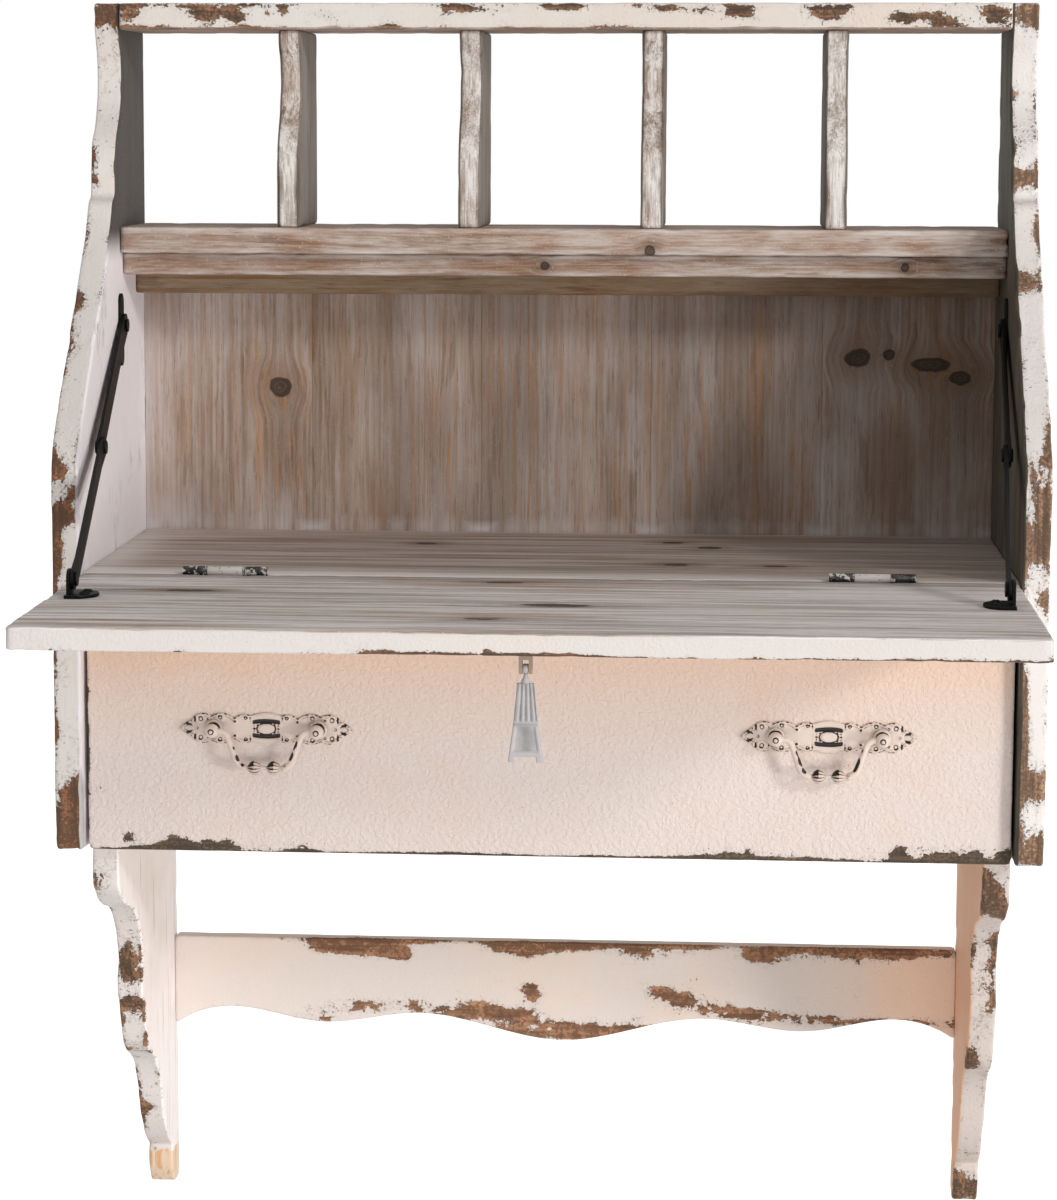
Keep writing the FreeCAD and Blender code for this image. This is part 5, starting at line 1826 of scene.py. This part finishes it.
@dataclass
class CaseCarcass(Assembly):
    """Fixed case: sides, top, shelf, dividers, rails, back, desk floor and bottom."""

    divider_count: int = 4
    back_count: int = 5
    back_worn: Rows = (
        (-190, -8, -255, 16, 20, 42, 0.6), (-145, -8, -250, 7, 20, 80, 0.5),
        (-85, -8, -240, 20, 20, 90, 0.6), (-35, -8, -220, 24, 20, 120, 0.55),
        (75, -8, -250, 26, 20, 90, 0.5), (130, -8, -220, 12, 20, 90, 0.4),
        (215, -8, -260, 26, 20, 50, 0.8),
    )
    back_chalk: Rows = (
        (0, -12, -308.5, 600, 10, 1.8, 1.2), (-281.5, -12, -230, 1.8, 10, 110, 1.0),
        (-270, -12, -300, 30, 10, 12, 0.6),
    )
    floor_chalk: Rows = (
        (-200, -243.5, -310, 200, 20, 10, 1.0), (100, -243.5, -310, 300, 16, 10, 0.9),
        (-280, -130, -310, 20, 140, 10, 0.8), (0, -10, -310, 400, 8, 10, 0.6),
    )
    torn_ends: Rows = (
        (279, -100, -112, 7, 12, 2.2, 1.2), (272, -100, -119, 9, 12, 1.6, 1.1),
        (270, -90, -126, 10, 12, 1.8, 1.2), (280, -90, -133, 6, 12, 1.8, 1.1),
    )
    left_rows: Rows = (
        (-292, 30, 12, 9, 1.0), (-299, -62, 4, 11, 0.9), (-297, -76, 4, 5, 0.6), (-299, -108, 3, 9, 0.6),
        (-287, -155, 6, 9, 1.0), (-297, -150, 5, 9, 0.8), (-299, -190, 3, 8, 0.5), (-299, -246, 6, 10, 0.7),
        (-287, -262, 4, 6, 0.6), (-292, -275, 9, 6, 1.0), (-298, -297, 5, 18, 0.6), (-286, -345, 3, 5, 0.7),
        (-288, -444, 7, 8, 0.75), (-299, -380, 2.5, 60, 0.5), (-292, -472, 14, 22, 1.15),
        (-294, -265, 9, 34, 0.3), (-297, -300, 7, 24, 0.25), (-292, -380, 12, 70, 0.14),
        (-292, -20, 12, 60, 0.26), (-297, -170, 6, 60, 0.4),
    )
    right_rows: Rows = (
        (292, 29, 10, 9, 1.0), (286, -20, 3, 4, 0.5), (285, -52, 4, 7, 0.55), (291, -72, 8, 6, 1.0),
        (289, -136, 7, 9, 1.0), (298, -104, 3, 12, 0.5), (298, -225, 4, 20, 0.8), (297, -268, 5, 26, 0.65),
        (288, -250, 5, 18, 0.5), (292, -290, 9, 14, 0.65), (295, -320, 5, 8, 0.7), (285, -400, 4, 46, 0.95),
        (293, -433, 7, 11, 0.75), (292, -472, 11, 14, 0.8), (294, -262, 8, 40, 0.2), (290, -448, 9, 36, 0.2),
        (293, -40, 10, 60, 0.3), (299, -110, 4, 90, 0.4), (292, -180, 10, 40, 0.22),
    )
    top_rows: Rows = (
        (-277, 31, 8, 7, 1.0), (-228, 30, 12, 6, 1.0), (-208, 29, 9, 5, 1.0), (-187, 30, 4, 3, 0.8),
        (-178, 31, 4, 3, 0.8), (-150, 29, 16, 4, 0.5), (-58, 33, 20, 4, 0.75), (0, 34, 14, 3, 0.75),
        (75, 32, 25, 3, 0.65), (112, 30, 14, 5, 0.75), (165, 31, 16, 6, 1.0), (214, 28, 12, 5, 0.95),
        (240, 27, 14, 5, 0.95), (272, 30, 11, 7, 1.0), (-110, 22, 10, 3, 0.5), (30, 22, 12, 3, 0.5),
    )

    def side_panel(self, node: str, rows: Rows, inner_high: bool) -> Piece:
        """One side panel: paint outside and on the edges, wash inside.

        Args:
            node: Name of the node.
            rows: Worn spots of its front edge.
            inner_high: Whether its inside is the face at the high end of X.

        Returns:
            The new piece.
        """
        paint = self.use(PANEL_PAINT if inner_high else RIGHT_PANEL_PAINT)
        # painted light on the left inside and painted shade on the right inside
        inside = self.use(LEFT_INSIDE_LIGHT_AND_SHADE if inner_high else RIGHT_INSIDE_SHADE)
        faces = BoardFaces(paint if inner_high else inside, inside if inner_high else paint, paint)
        worn = edge_spots(node, rows, 6 * MM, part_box(node)[0].y)
        wear = Wear(edge_weight=0.48, spots=worn)
        return Board(node, Axis.X, Body.CASE, Slot.PAINT, faces, wear, soften=2).build()

    def build(self) -> None:
        """Make or dress every board of the case."""
        self.side_panel("side_panel_left", self.left_rows, True)
        self.side_panel("side_panel_right", self.right_rows, False)
        level = self.use(RAIL_PAINT)
        rail = self.use(RAIL_PINE)
        side = self.use(DIVIDER_SIDE_SHADE)
        top = BoardFaces(rail, level, level)
        top_wear = Wear(spots=spots(self.top_rows, -94, 6))
        Board("top_board", Axis.Z, Body.CASE, Slot.PAINT, top, top_wear, pitch=10 * MM).build()
        whole = BoardFaces.whole(rail)
        soft = Wear(edge_weight=0.8, edge_reach=2.5 * MM, dent=0.3 * MM)
        lime = Wear(
            edge_weight=0.0, edge_reach=2.0 * MM, edge_chalk=0.7, spots=soft_spots(self.torn_ends),
            chip_depth=1.6 * MM,
        )
        for index, node in enumerate(("shelf_board", "lid_stop_rail")):
            Board(node, Axis.Z, Body.CASE, Slot.WASHED, whole, lime, pitch=14 * MM, seed=1.3 * index).build()
        dull = BoardFaces.whole(self.use(HANGING_PINE))
        Board("hanging_rail", Axis.Z, Body.CASE, Slot.WASHED, dull, soft, pitch=14 * MM, seed=2.6).build()
        post = BoardFaces(side, side, self.use(DIVIDER_FRONT))
        for index in range(1, self.divider_count + 1):
            node = f"divider_{index}"
            Board(node, Axis.X, Body.CASE, Slot.WASHED, post, soft, pitch=10 * MM, seed=0.7 * index).build()
        back = BoardFaces.whole(self.use(BACK_PINE))
        back_wear = Wear(
            edge_weight=0.1, spots=soft_spots(self.back_worn), chalk=soft_spots(self.back_chalk),
            dent=0.1 * MM, chip_depth=0.0,
        )
        for index in range(1, self.back_count + 1):
            Board(
                f"back_board_{index}", Axis.Y, Body.CASE, Slot.WASHED, back, back_wear,
                edge_round=0.45 * MM, step=6 * MM, pitch=10 * MM,
            ).build()
        floor = BoardFaces.whole(self.use(FLOOR_PINE))
        floor_wear = replace(soft, chalk=soft_spots(self.floor_chalk))
        Board("desk_floor", Axis.Z, Body.CASE, Slot.WASHED, floor, floor_wear, pitch=9 * MM, seed=2.1).build()
        dress("bottom_board", self.use(RAW_PINE), 0.5 * MM)
        log.info("case: %d boards", 10 + self.divider_count + self.back_count)


@dataclass
class DropLid(Assembly):
    """Lid that folds down into a writing surface, with its two butt hinges."""

    edge_rows: Rows = (
        (60, -323, 260, 1.3, 0.55), (10, -322, 40, 1.6, 0.5), (-60, -322, 40, 1.6, 0.45),
        (-20, -320, 4, 2, 0.8), (210, -322.5, 60, 1.4, 0.5), (-86, -318, 3, 1.5, 0.7),
        (-74, -321, 4, 1.5, 0.8), (280, -320, 4, 4, 0.6),
    )
    # The first row darkens the lid's rear edge as painted shade at the joint with the desk floor, the second
    # a wider band in front of it, and the rest stain the wood round knots
    top_stains_and_joint_shade: Rows = (
        (0, -246.5, -310, 600, 5, 4, 0.8), (0, -262, -310, 600, 16, 4, 0.5),
        (-205, -320, -310, 34, 12, 4, 0.9), (12, -371, -310, 26, 7, 4, 0.9),
        (-24, -422, -310, 12, 8, 4, 0.8),
    )

    def build(self) -> None:
        """Make the lid board and dress the hinges."""
        paint = self.use(LID_PAINT)
        desk = self.use(LEVEL_PINE)
        worn = spots(self.edge_rows, -478, 5) + soft_spots(self.top_stains_and_joint_shade)
        wear = Wear(edge_weight=0.3, spots=worn, dent=0.35 * MM)
        Board(
            "lid_board", Axis.Z, Body.LID, Slot.WASHED, BoardFaces(paint, desk, paint), wear, edge_round=MM,
            pitch=8 * MM, seed=4.4,
        ).build()
        dark = self.use(HINGE_DARK)
        painted = self.use(HINGE_PAINTED)
        for side in ("left", "right"):
            dress(f"hinge_case_leaf_{side}", dark, 0.25 * MM)
            dress(f"hinge_lid_leaf_{side}", painted, 0.25 * MM)
            dress(f"hinge_pin_{side}", dark, 0.25 * MM)
        dress("hinge_case_screws", dark)
        dress("hinge_lid_screws", painted)
        log.info("lid: one board and two hinges")


@dataclass
class FoldingStays(Assembly):
    """Black folding stays that hold the lid level."""

    bevel: float = 0.3 * MM
    screw_radius: float = 3.0 * MM
    screw_rise: float = 1.6 * MM
    shank_radius: float = 1.5 * MM
    tip_radius: float = 1.2 * MM
    tip_taper: float = 0.4 * MM
    slot_half: float = 0.45 * MM

    def build(self) -> None:
        """Dress the links, plates, brackets and rivets, and turn the bracket screws."""
        iron = self.use(IRON)
        for side in ("left", "right"):
            for part in ("stay_wall_plate", "stay_upper_link", "stay_lower_link", "lid_bracket"):
                dress(f"{part}_{side}", iron, self.bevel)
        for node in ("stay_wall_rivets", "stay_lid_rivets", "stay_plate_screws"):
            dress(node, iron, self.bevel)
        low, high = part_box("lid_bracket_screws")
        reach = self.screw_radius
        centres = [(x, y) for x in (low.x + reach, high.x - reach) for y in (low.y + reach, high.y - reach)]
        seat = high.z
        screw = self.screw(low.z - seat)
        places = [(screw, Vector((x, y, seat))) for x, y in centres]
        heads = Casting("lid_bracket_screws_domed", iron, Body.LID, Slot.IRON).turned(places)
        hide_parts("lid_bracket_screws")
        log.info("stays: two, with %d domed screws", len(centres))

    def screw(self, tip: float) -> Turning:
        """One domed screw with a cross slot.

        Args:
            tip: Level of its tip below the seat.

        Returns:
            The turned screw.
        """
        shank = self.shank_radius
        rows = [(self.tip_radius, tip, 0.0), (shank, -self.tip_taper, 0.0), (shank, -TOUCH, 0.0)]
        for angle in range(0, 90, 6):
            turn = math.radians(angle)
            rise = TOUCH + self.screw_rise * math.sin(turn)
            rows.append((self.screw_radius * math.cos(turn), rise, 0.0))
        return Turning(
            Axis.Z, tuple(rows), 72, self.slot_half, 0.72 * self.screw_radius, 0.55 * self.screw_rise
        )


@dataclass
class DrawerUnit(Assembly):
    """Drawer front with crinkled paint, and its plain box."""

    front_rows: Rows = (
        (-256, -472, 5, 4, 1.0), (-210, -479, 30, 4, 0.9), (-150, -481, 12, 3, 0.8),
        (-60, -482, 60, 2.5, 0.8), (60, -482, 50, 2, 0.7), (110, -481, 30, 3.5, 0.9),
        (214, -474, 12, 4, 1.0), (250, -478, 24, 6, 1.0), (-281, -400, 1.5, 60, 0.6),
        (-268, -443, 3, 1.2, 0.7), (279, -478, 6, 6, 0.9), (0, -482.5, 400, 1.6, 0.5),
        (-248, -482, 34, 4, 0.6), (-228, -475, 3, 2, 0.7), (-202, -478, 3, 2, 0.7), (170, -481, 60, 2.6, 0.5),
    )

    def build(self) -> None:
        """Make the front and dress the box."""
        paint = self.use(DRAWER_PAINT)
        raw = self.use(RAW_PINE)
        wear = Wear(edge_weight=0.4, spots=spots(self.front_rows, -243, 6))
        Board("drawer_front", Axis.Y, Body.DRAWER, Slot.PAINT, BoardFaces(paint, raw, paint), wear).build()
        for node in ("drawer_side_left", "drawer_side_right", "drawer_back", "drawer_bottom"):
            dress(node, raw, 0.5 * MM)
        log.info("drawer: front and box")


@dataclass
class BailPulls(Assembly):
    """Cast bail pulls of the drawer."""

    post_inset: float = 32 * MM
    ball_radius: float = 4.4 * MM
    ball_stand: float = 12 * MM
    plate_step: float = 0.55 * MM

    def post(self, back: float) -> Turning:
        """One post: a ball with a small nipple, a neck, a flange on the plate and a shank.

        Args:
            back: Level of the shank's end behind the middle of the ball.

        Returns:
            The turned post.
        """
        rows = [(0.35, -5.7, 0.0), (0.85, -5.5, 0.0), (1.1, -5.0, 0.1), (1.2, -4.3, 1.0), (1.7, -4.02, 0.8)]
        ball = self.ball_radius / MM
        for angle in range(-62, 58, 10):
            turn = math.radians(angle)
            rows.append((ball * math.cos(turn), ball * math.sin(turn), 0.05))
        rows += [(2.7, 4.2, 0.9), (2.6, 6.6, 0.7), (3.0, 7.6, 0.9), (5.0, 7.9, 0.2), (5.5, 8.5, 0.0)]
        rows += [(5.4, 9.5, 0.7), (2.0, 9.6, 0.9)]
        made = [(radius * MM, level * MM, hollow) for radius, level, hollow in rows]
        made.append((2.0 * MM, back, 0.0))
        return Turning(Axis.Y, tuple(made), 40)

    def build(self) -> None:
        """Cast the plates, posts and bails, and dress the nuts."""
        casting = self.use(CASTING)
        whole = BoardFaces.whole(casting)
        sound = Wear(edge_weight=0.0, dent=0.0)
        places = []
        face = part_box("drawer_front")[0].y
        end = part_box("pull_posts")[1].y
        for side, body in (("left", Body.BAIL_LEFT), ("right", Body.BAIL_RIGHT)):
            plate = PullPlate(
                f"pull_plate_{side}", Axis.Y, Body.DRAWER, Slot.CASTING, whole, sound, edge_round=0.5 * MM,
                step=self.plate_step, pitch=1.15 * self.plate_step, soften=2,
            )
            plate.build()
            Bail(f"bail_{side}", body, casting).build()
            middle = middle_of(plate.node)
            for offset in (-self.post_inset, self.post_inset):
                places.append(Vector((middle.x + offset, face - self.ball_stand, middle.z)))
        turned = self.post(end - face + self.ball_stand)
        turnings = [(turned, place) for place in places]
        posts = Casting("pull_posts_turned", casting, Body.DRAWER).turned(turnings)
        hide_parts("pull_posts")
        dress("pull_nuts", self.use(ZINC), 0.2 * MM)
        log.info("pulls: two")


@dataclass
class DropPull(Assembly):
    """Small drop pull under the lid's free edge."""

    eye_radius: float = 2.6 * MM
    eye_half: float = 1.7 * MM
    neck_radius: float = 1.15 * MM

    def build(self) -> None:
        """Dress the fork and pin, and cast the pendant with its eye and neck."""
        casting = self.use(PENDANT_CASTING)
        dark = self.use(BRONZE)
        dress("drop_pull_fork", dark, 1.3 * MM)
        dress("drop_pull_pin", dark, 0.2 * MM)
        pivot = middle_of("drop_pull_pin")
        whole = BoardFaces.whole(casting)
        pendant = Pendant(
            "drop_pull_pendant", Axis.Y, Body.DROP_PULL, Slot.CASTING, whole, Wear(edge_weight=0.0, dent=0.0),
            edge_round=0.7 * MM, step=0.5 * MM, pitch=0.6 * MM, soften=1,
        )
        pendant.build()
        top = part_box("drop_pull_pendant")[0].z + pendant.length
        middle = sum(pendant.span()) / 2
        eye = Turning(Axis.X, tuple(
            (self.eye_radius * rim, self.eye_half * level, hollow)
            for rim, level, hollow in ((0.8, -1.0, 0.4), (1.0, -0.7, 0.0), (1.0, 0.7, 0.0), (0.8, 1.0, 0.4))
        ))
        fall = top - pivot.z
        neck = Turning(Axis.Z, (
            (self.neck_radius, -0.5 * self.eye_radius, 0.6), (self.neck_radius, 0.55 * fall, 0.3),
            (2.0 * self.neck_radius, 0.8 * fall, 0.0), (2.3 * self.neck_radius, 0.95 * fall, 0.3),
            (1.6 * self.neck_radius, fall - 0.6 * MM, 0.6),
        ))
        places = [(eye, pivot), (neck, Vector((pivot.x, middle, pivot.z)))]
        Casting("drop_pull_eye", casting, Body.DROP_PULL).turned(places)
        log.info("drop pull: one")


@dataclass
class LegFrame(Assembly):
    """Scrolled bracket legs and the scalloped stretcher."""

    left_rows: Rows = (
        (-268, -500, 4, 12, 0.7), (-280, -500, 3, 14, 0.6), (-277, -578, 6, 9, 1.0), (-274, -606, 9, 5, 1.0),
        (-276, -646, 8, 8, 0.9), (-276, -696, 6, 5, 0.7), (-275, -600, 12, 140, 0.4),
        (-278, -515, 6, 26, 0.45), (-281, -700, 4, 40, 0.4),
    )
    right_rows: Rows = (
        (272, -505, 6, 12, 0.8), (278, -525, 6, 10, 0.8), (270, -492, 5, 6, 0.8), (269, -640, 6, 15, 1.0),
        (277, -655, 5, 8, 0.8), (274, -722, 7, 6, 0.7), (275, -752, 10, 14, 1.0), (274, -508, 11, 24, 0.55),
        (274, -600, 10, 120, 0.42), (281, -560, 4, 50, 0.4),
    )
    rail_rows: Rows = (
        (-160, -595, 16, 5, 0.9), (-140, -597, 14, 5, 1.0), (-119, -597, 12, 5, 1.0), (-107, -600, 5, 4, 0.8),
        (-125, -591, 60, 2.5, 0.8), (-41, -593, 10, 4, 0.9), (-21, -596, 14, 6, 1.0), (-2, -592, 30, 3, 0.9),
        (20, -591, 40, 2.5, 0.65), (53, -598, 13, 7, 0.8), (90, -591, 40, 2.5, 0.65), (135, -597, 18, 6, 0.8),
        (165, -593, 30, 4, 0.7), (205, -595, 26, 6, 0.8), (240, -592, 30, 4, 0.75), (-21, -624, 7, 8, 0.9),
        (87, -613, 4, 2.5, 0.9), (65, -622, 10, 4, 0.9), (-165, -643, 16, 6, 0.75), (-139, -636, 12, 6, 0.7),
        (-119, -636, 12, 6, 0.6), (-100, -635, 9, 6, 0.7), (-70, -637, 22, 7, 0.7), (-40, -640, 26, 8, 0.75),
        (-10, -650, 34, 7, 0.75), (20, -652, 30, 5, 0.75), (46, -647, 20, 5, 0.7), (81, -627, 15, 8, 0.8),
        (105, -634, 20, 6, 0.7), (130, -636, 24, 5, 0.7), (160, -640, 26, 5, 0.65), (195, -640, 26, 4, 0.6),
        (237, -641, 30, 4, 0.7),
    )
    # Painted shade: a warm blush at the stretcher's right end, where the right leg's shadow falls
    rail_shade: Rows = ((240, -13, -620, 44, 30, 60, 1.0),)

    def build(self) -> None:
        """Make the legs and the stretcher."""
        paint = self.use(LEG_PAINT)
        right = self.use(RIGHT_LEG_PAINT)
        level = BoardFaces.whole(self.use(STRETCHER_PAINT))
        shade = self.use(SHADE_PAINT)
        dressed = (
            ("leg_left", self.left_rows, BoardFaces(paint, self.use(LEFT_LEG_INSIDE_LIGHT), paint)),
            ("leg_right", self.right_rows, BoardFaces(shade, right, right)),
        )
        for node, rows, whole in dressed:
            wear = Wear(spots=edge_spots(node, rows, 8 * MM, 0.0))
            Board(node, Axis.X, Body.CASE, Slot.PAINT, whole, wear, soften=2, pitch=7 * MM).build()
        worn = spots(self.rail_rows, -13, 6)
        shaded = soft_spots(self.rail_shade)
        # the chalk spots of the stretcher paint the right leg's shadow as warm blush
        wear = Wear(edge_weight=0.4, edge_reach=2.2 * MM, spots=worn, chalk=shaded)
        Board("stretcher", Axis.Y, Body.CASE, Slot.PAINT, level, wear, pitch=6 * MM).build()
        log.info("legs: two and a stretcher")


@dataclass
class WallHangers(Assembly):
    """Keyhole hangers at the back."""

    def build(self) -> None:
        """Dress the plates and screws."""
        zinc = self.use(ZINC)
        dress("hanger_plate_left", zinc, 0.2 * MM)
        dress("hanger_plate_right", zinc, 0.2 * MM)
        dress("hanger_screws", zinc)
        log.info("hangers: two")


@dataclass(frozen=True)
class Lamp:
    """A rectangular lamp: its width and height, its power in watts and its colour."""

    name: str
    size: Pair
    power: float
    colour: Colour

    def hang(self, place: Vector, aim: Vector) -> None:
        """Put the lamp in its place.

        Args:
            place: Middle of the lamp.
            aim: Point that it looks at.
        """
        data = bpy.data.lights.new(self.name, "AREA")
        data.shape = "RECTANGLE"
        data.size, data.size_y = self.size
        data.energy = self.power
        data.color = self.colour
        lamp = bpy.data.objects.new(self.name, data)
        lamp.location = place
        lamp.rotation_mode = "QUATERNION"
        lamp.rotation_quaternion = (place - aim).to_track_quat("Z", "Y")
        bpy.context.scene.collection.objects.link(lamp)


@dataclass
class Studio:
    """Camera, lights and the pale floor."""

    camera_place: Place = (0.10575, -2.30404, -0.04412)
    yaw: float = 0.07346
    pitch: float = 0.13086
    roll: float = 0.00226
    focal_pixels: float = 3453.48
    axis_x: float = 470.68
    axis_y: float = 586.30
    sensor: float = 36.0
    floor_below_desk: float = 0.75
    floor_size: float = 30.0
    key: Lamp = Lamp("key_light", (1.3, 1.3), 295.0, (1.0, 0.98, 0.95))
    key_direction: Place = (1.15, -1.0, 0.6)
    key_distance: float = 10.0
    fill: Lamp = Lamp("fill_light", (1.6, 0.7), 195.0, (1.0, 0.97, 0.93))
    fill_direction: Place = (1.3, -1.0, -0.06)
    fill_distance: float = 8.0
    bounce: Lamp = Lamp("floor_bounce", (1.2, 0.2), 4.5, (1.0, 0.97, 0.94))
    bounce_place: Place = (0.1, -1.7, -0.9)
    bounce_aim: Place = (0.0, -0.1, -0.5)
    ambient: float = 0.42
    floor_glow: float = 0.75
    ambient_tint: Colour = (1.0, 0.96, 0.92)

    def build(self) -> None:
        """Set the stage."""
        self.add_camera()
        middle = sum(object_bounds(), Vector()) / 2
        self.key.hang(middle + Vector(self.key_direction).normalized() * self.key_distance, middle)
        self.fill.hang(middle + Vector(self.fill_direction).normalized() * self.fill_distance, middle)
        self.bounce.hang(Vector(self.bounce_place), Vector(self.bounce_aim))
        self.add_world()
        self.add_floor()
        bpy.context.scene.view_settings.view_transform = "Standard"
        log.info("studio: camera, three lamps and a floor")

    def add_camera(self) -> None:
        """Place the camera at the photograph's angle, with its framing as a small shift."""
        ahead = Vector((
            -math.sin(self.yaw) * math.cos(self.pitch), math.cos(self.yaw) * math.cos(self.pitch),
            -math.sin(self.pitch),
        ))
        side = Vector((math.cos(self.yaw), math.sin(self.yaw), 0.0))
        rise = side.cross(ahead)
        right = math.cos(self.roll) * side + math.sin(self.roll) * rise
        up = math.cos(self.roll) * rise - math.sin(self.roll) * side
        data = bpy.data.cameras.new("photo_camera")
        data.sensor_fit = "AUTO"
        data.sensor_width = self.sensor
        data.lens = self.focal_pixels / PHOTO_HEIGHT * self.sensor
        data.shift_x = (PHOTO_WIDTH / 2 - self.axis_x) / PHOTO_HEIGHT
        data.shift_y = (self.axis_y - PHOTO_HEIGHT / 2) / PHOTO_HEIGHT
        camera = bpy.data.objects.new("photo_camera", data)
        turned = Matrix((right, up, -ahead)).transposed().to_4x4()
        camera.matrix_world = Matrix.Translation(self.camera_place) @ turned
        bpy.context.scene.collection.objects.link(camera)
        bpy.context.scene.camera = camera

    def add_world(self) -> None:
        """Soft surrounding light, with a white background."""
        world = bpy.data.worlds.new("studio_world")
        bpy.context.scene.world = world
        graph = Graph(world)
        soft = graph.tree.nodes["Background"]
        soft.inputs["Color"].default_value = (*self.ambient_tint, 1.0)
        soft.inputs["Strength"].default_value = self.ambient
        white = graph.node("ShaderNodeBackground")
        white.inputs["Color"].default_value = (1.0, 1.0, 1.0, 1.0)
        mixed = graph.node("ShaderNodeMixShader")
        for socket, source in zip(mixed.inputs, (graph.seen(), soft.outputs[0], white.outputs[0])):
            graph.feed(socket, source)
        graph.feed(graph.tree.nodes["World Output"].inputs["Surface"], mixed.outputs[0])

    def add_floor(self) -> None:
        """Pale floor at the height below a writing surface where a room has it."""
        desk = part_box("desk_floor")[1].z
        half = self.floor_size / 2
        level = desk - self.floor_below_desk
        corners = [(-half, -half, level), (half, -half, level), (half, half, level), (-half, half, level)]
        mesh = bpy.data.meshes.new("pale_floor")
        mesh.from_pydata(corners, [], [(0, 1, 2, 3)])
        graph = Graph.of_material("pale_floor")
        cloud = graph.noise(graph.place(), 3.0, 2.0)
        glow = graph.times(graph.seen(), self.floor_glow)
        graph.shader.inputs["Emission Color"].default_value = (1.0, 1.0, 1.0, 1.0)
        graph.feed(graph.shader.inputs["Emission Strength"], glow)
        mesh.materials.append(graph.finish(graph.mix(cloud, (0.90, 0.90, 0.90), (0.94, 0.94, 0.94)), 0.9))
        floor = bpy.data.objects.new("pale_floor", mesh)
        bpy.context.scene.collection.objects.link(floor)
        floor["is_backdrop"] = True


def main() -> None:
    """Build every sub-assembly in order, then set up the studio."""
    logging.basicConfig(level=logging.INFO)
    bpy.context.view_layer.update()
    made: dict[str, Material] = {}
    for part in (CaseCarcass, DropLid, FoldingStays, DrawerUnit, BailPulls, DropPull, LegFrame, WallHangers):
        part(made).build()
    Studio().build()


if __name__ == "__main__":
    main()
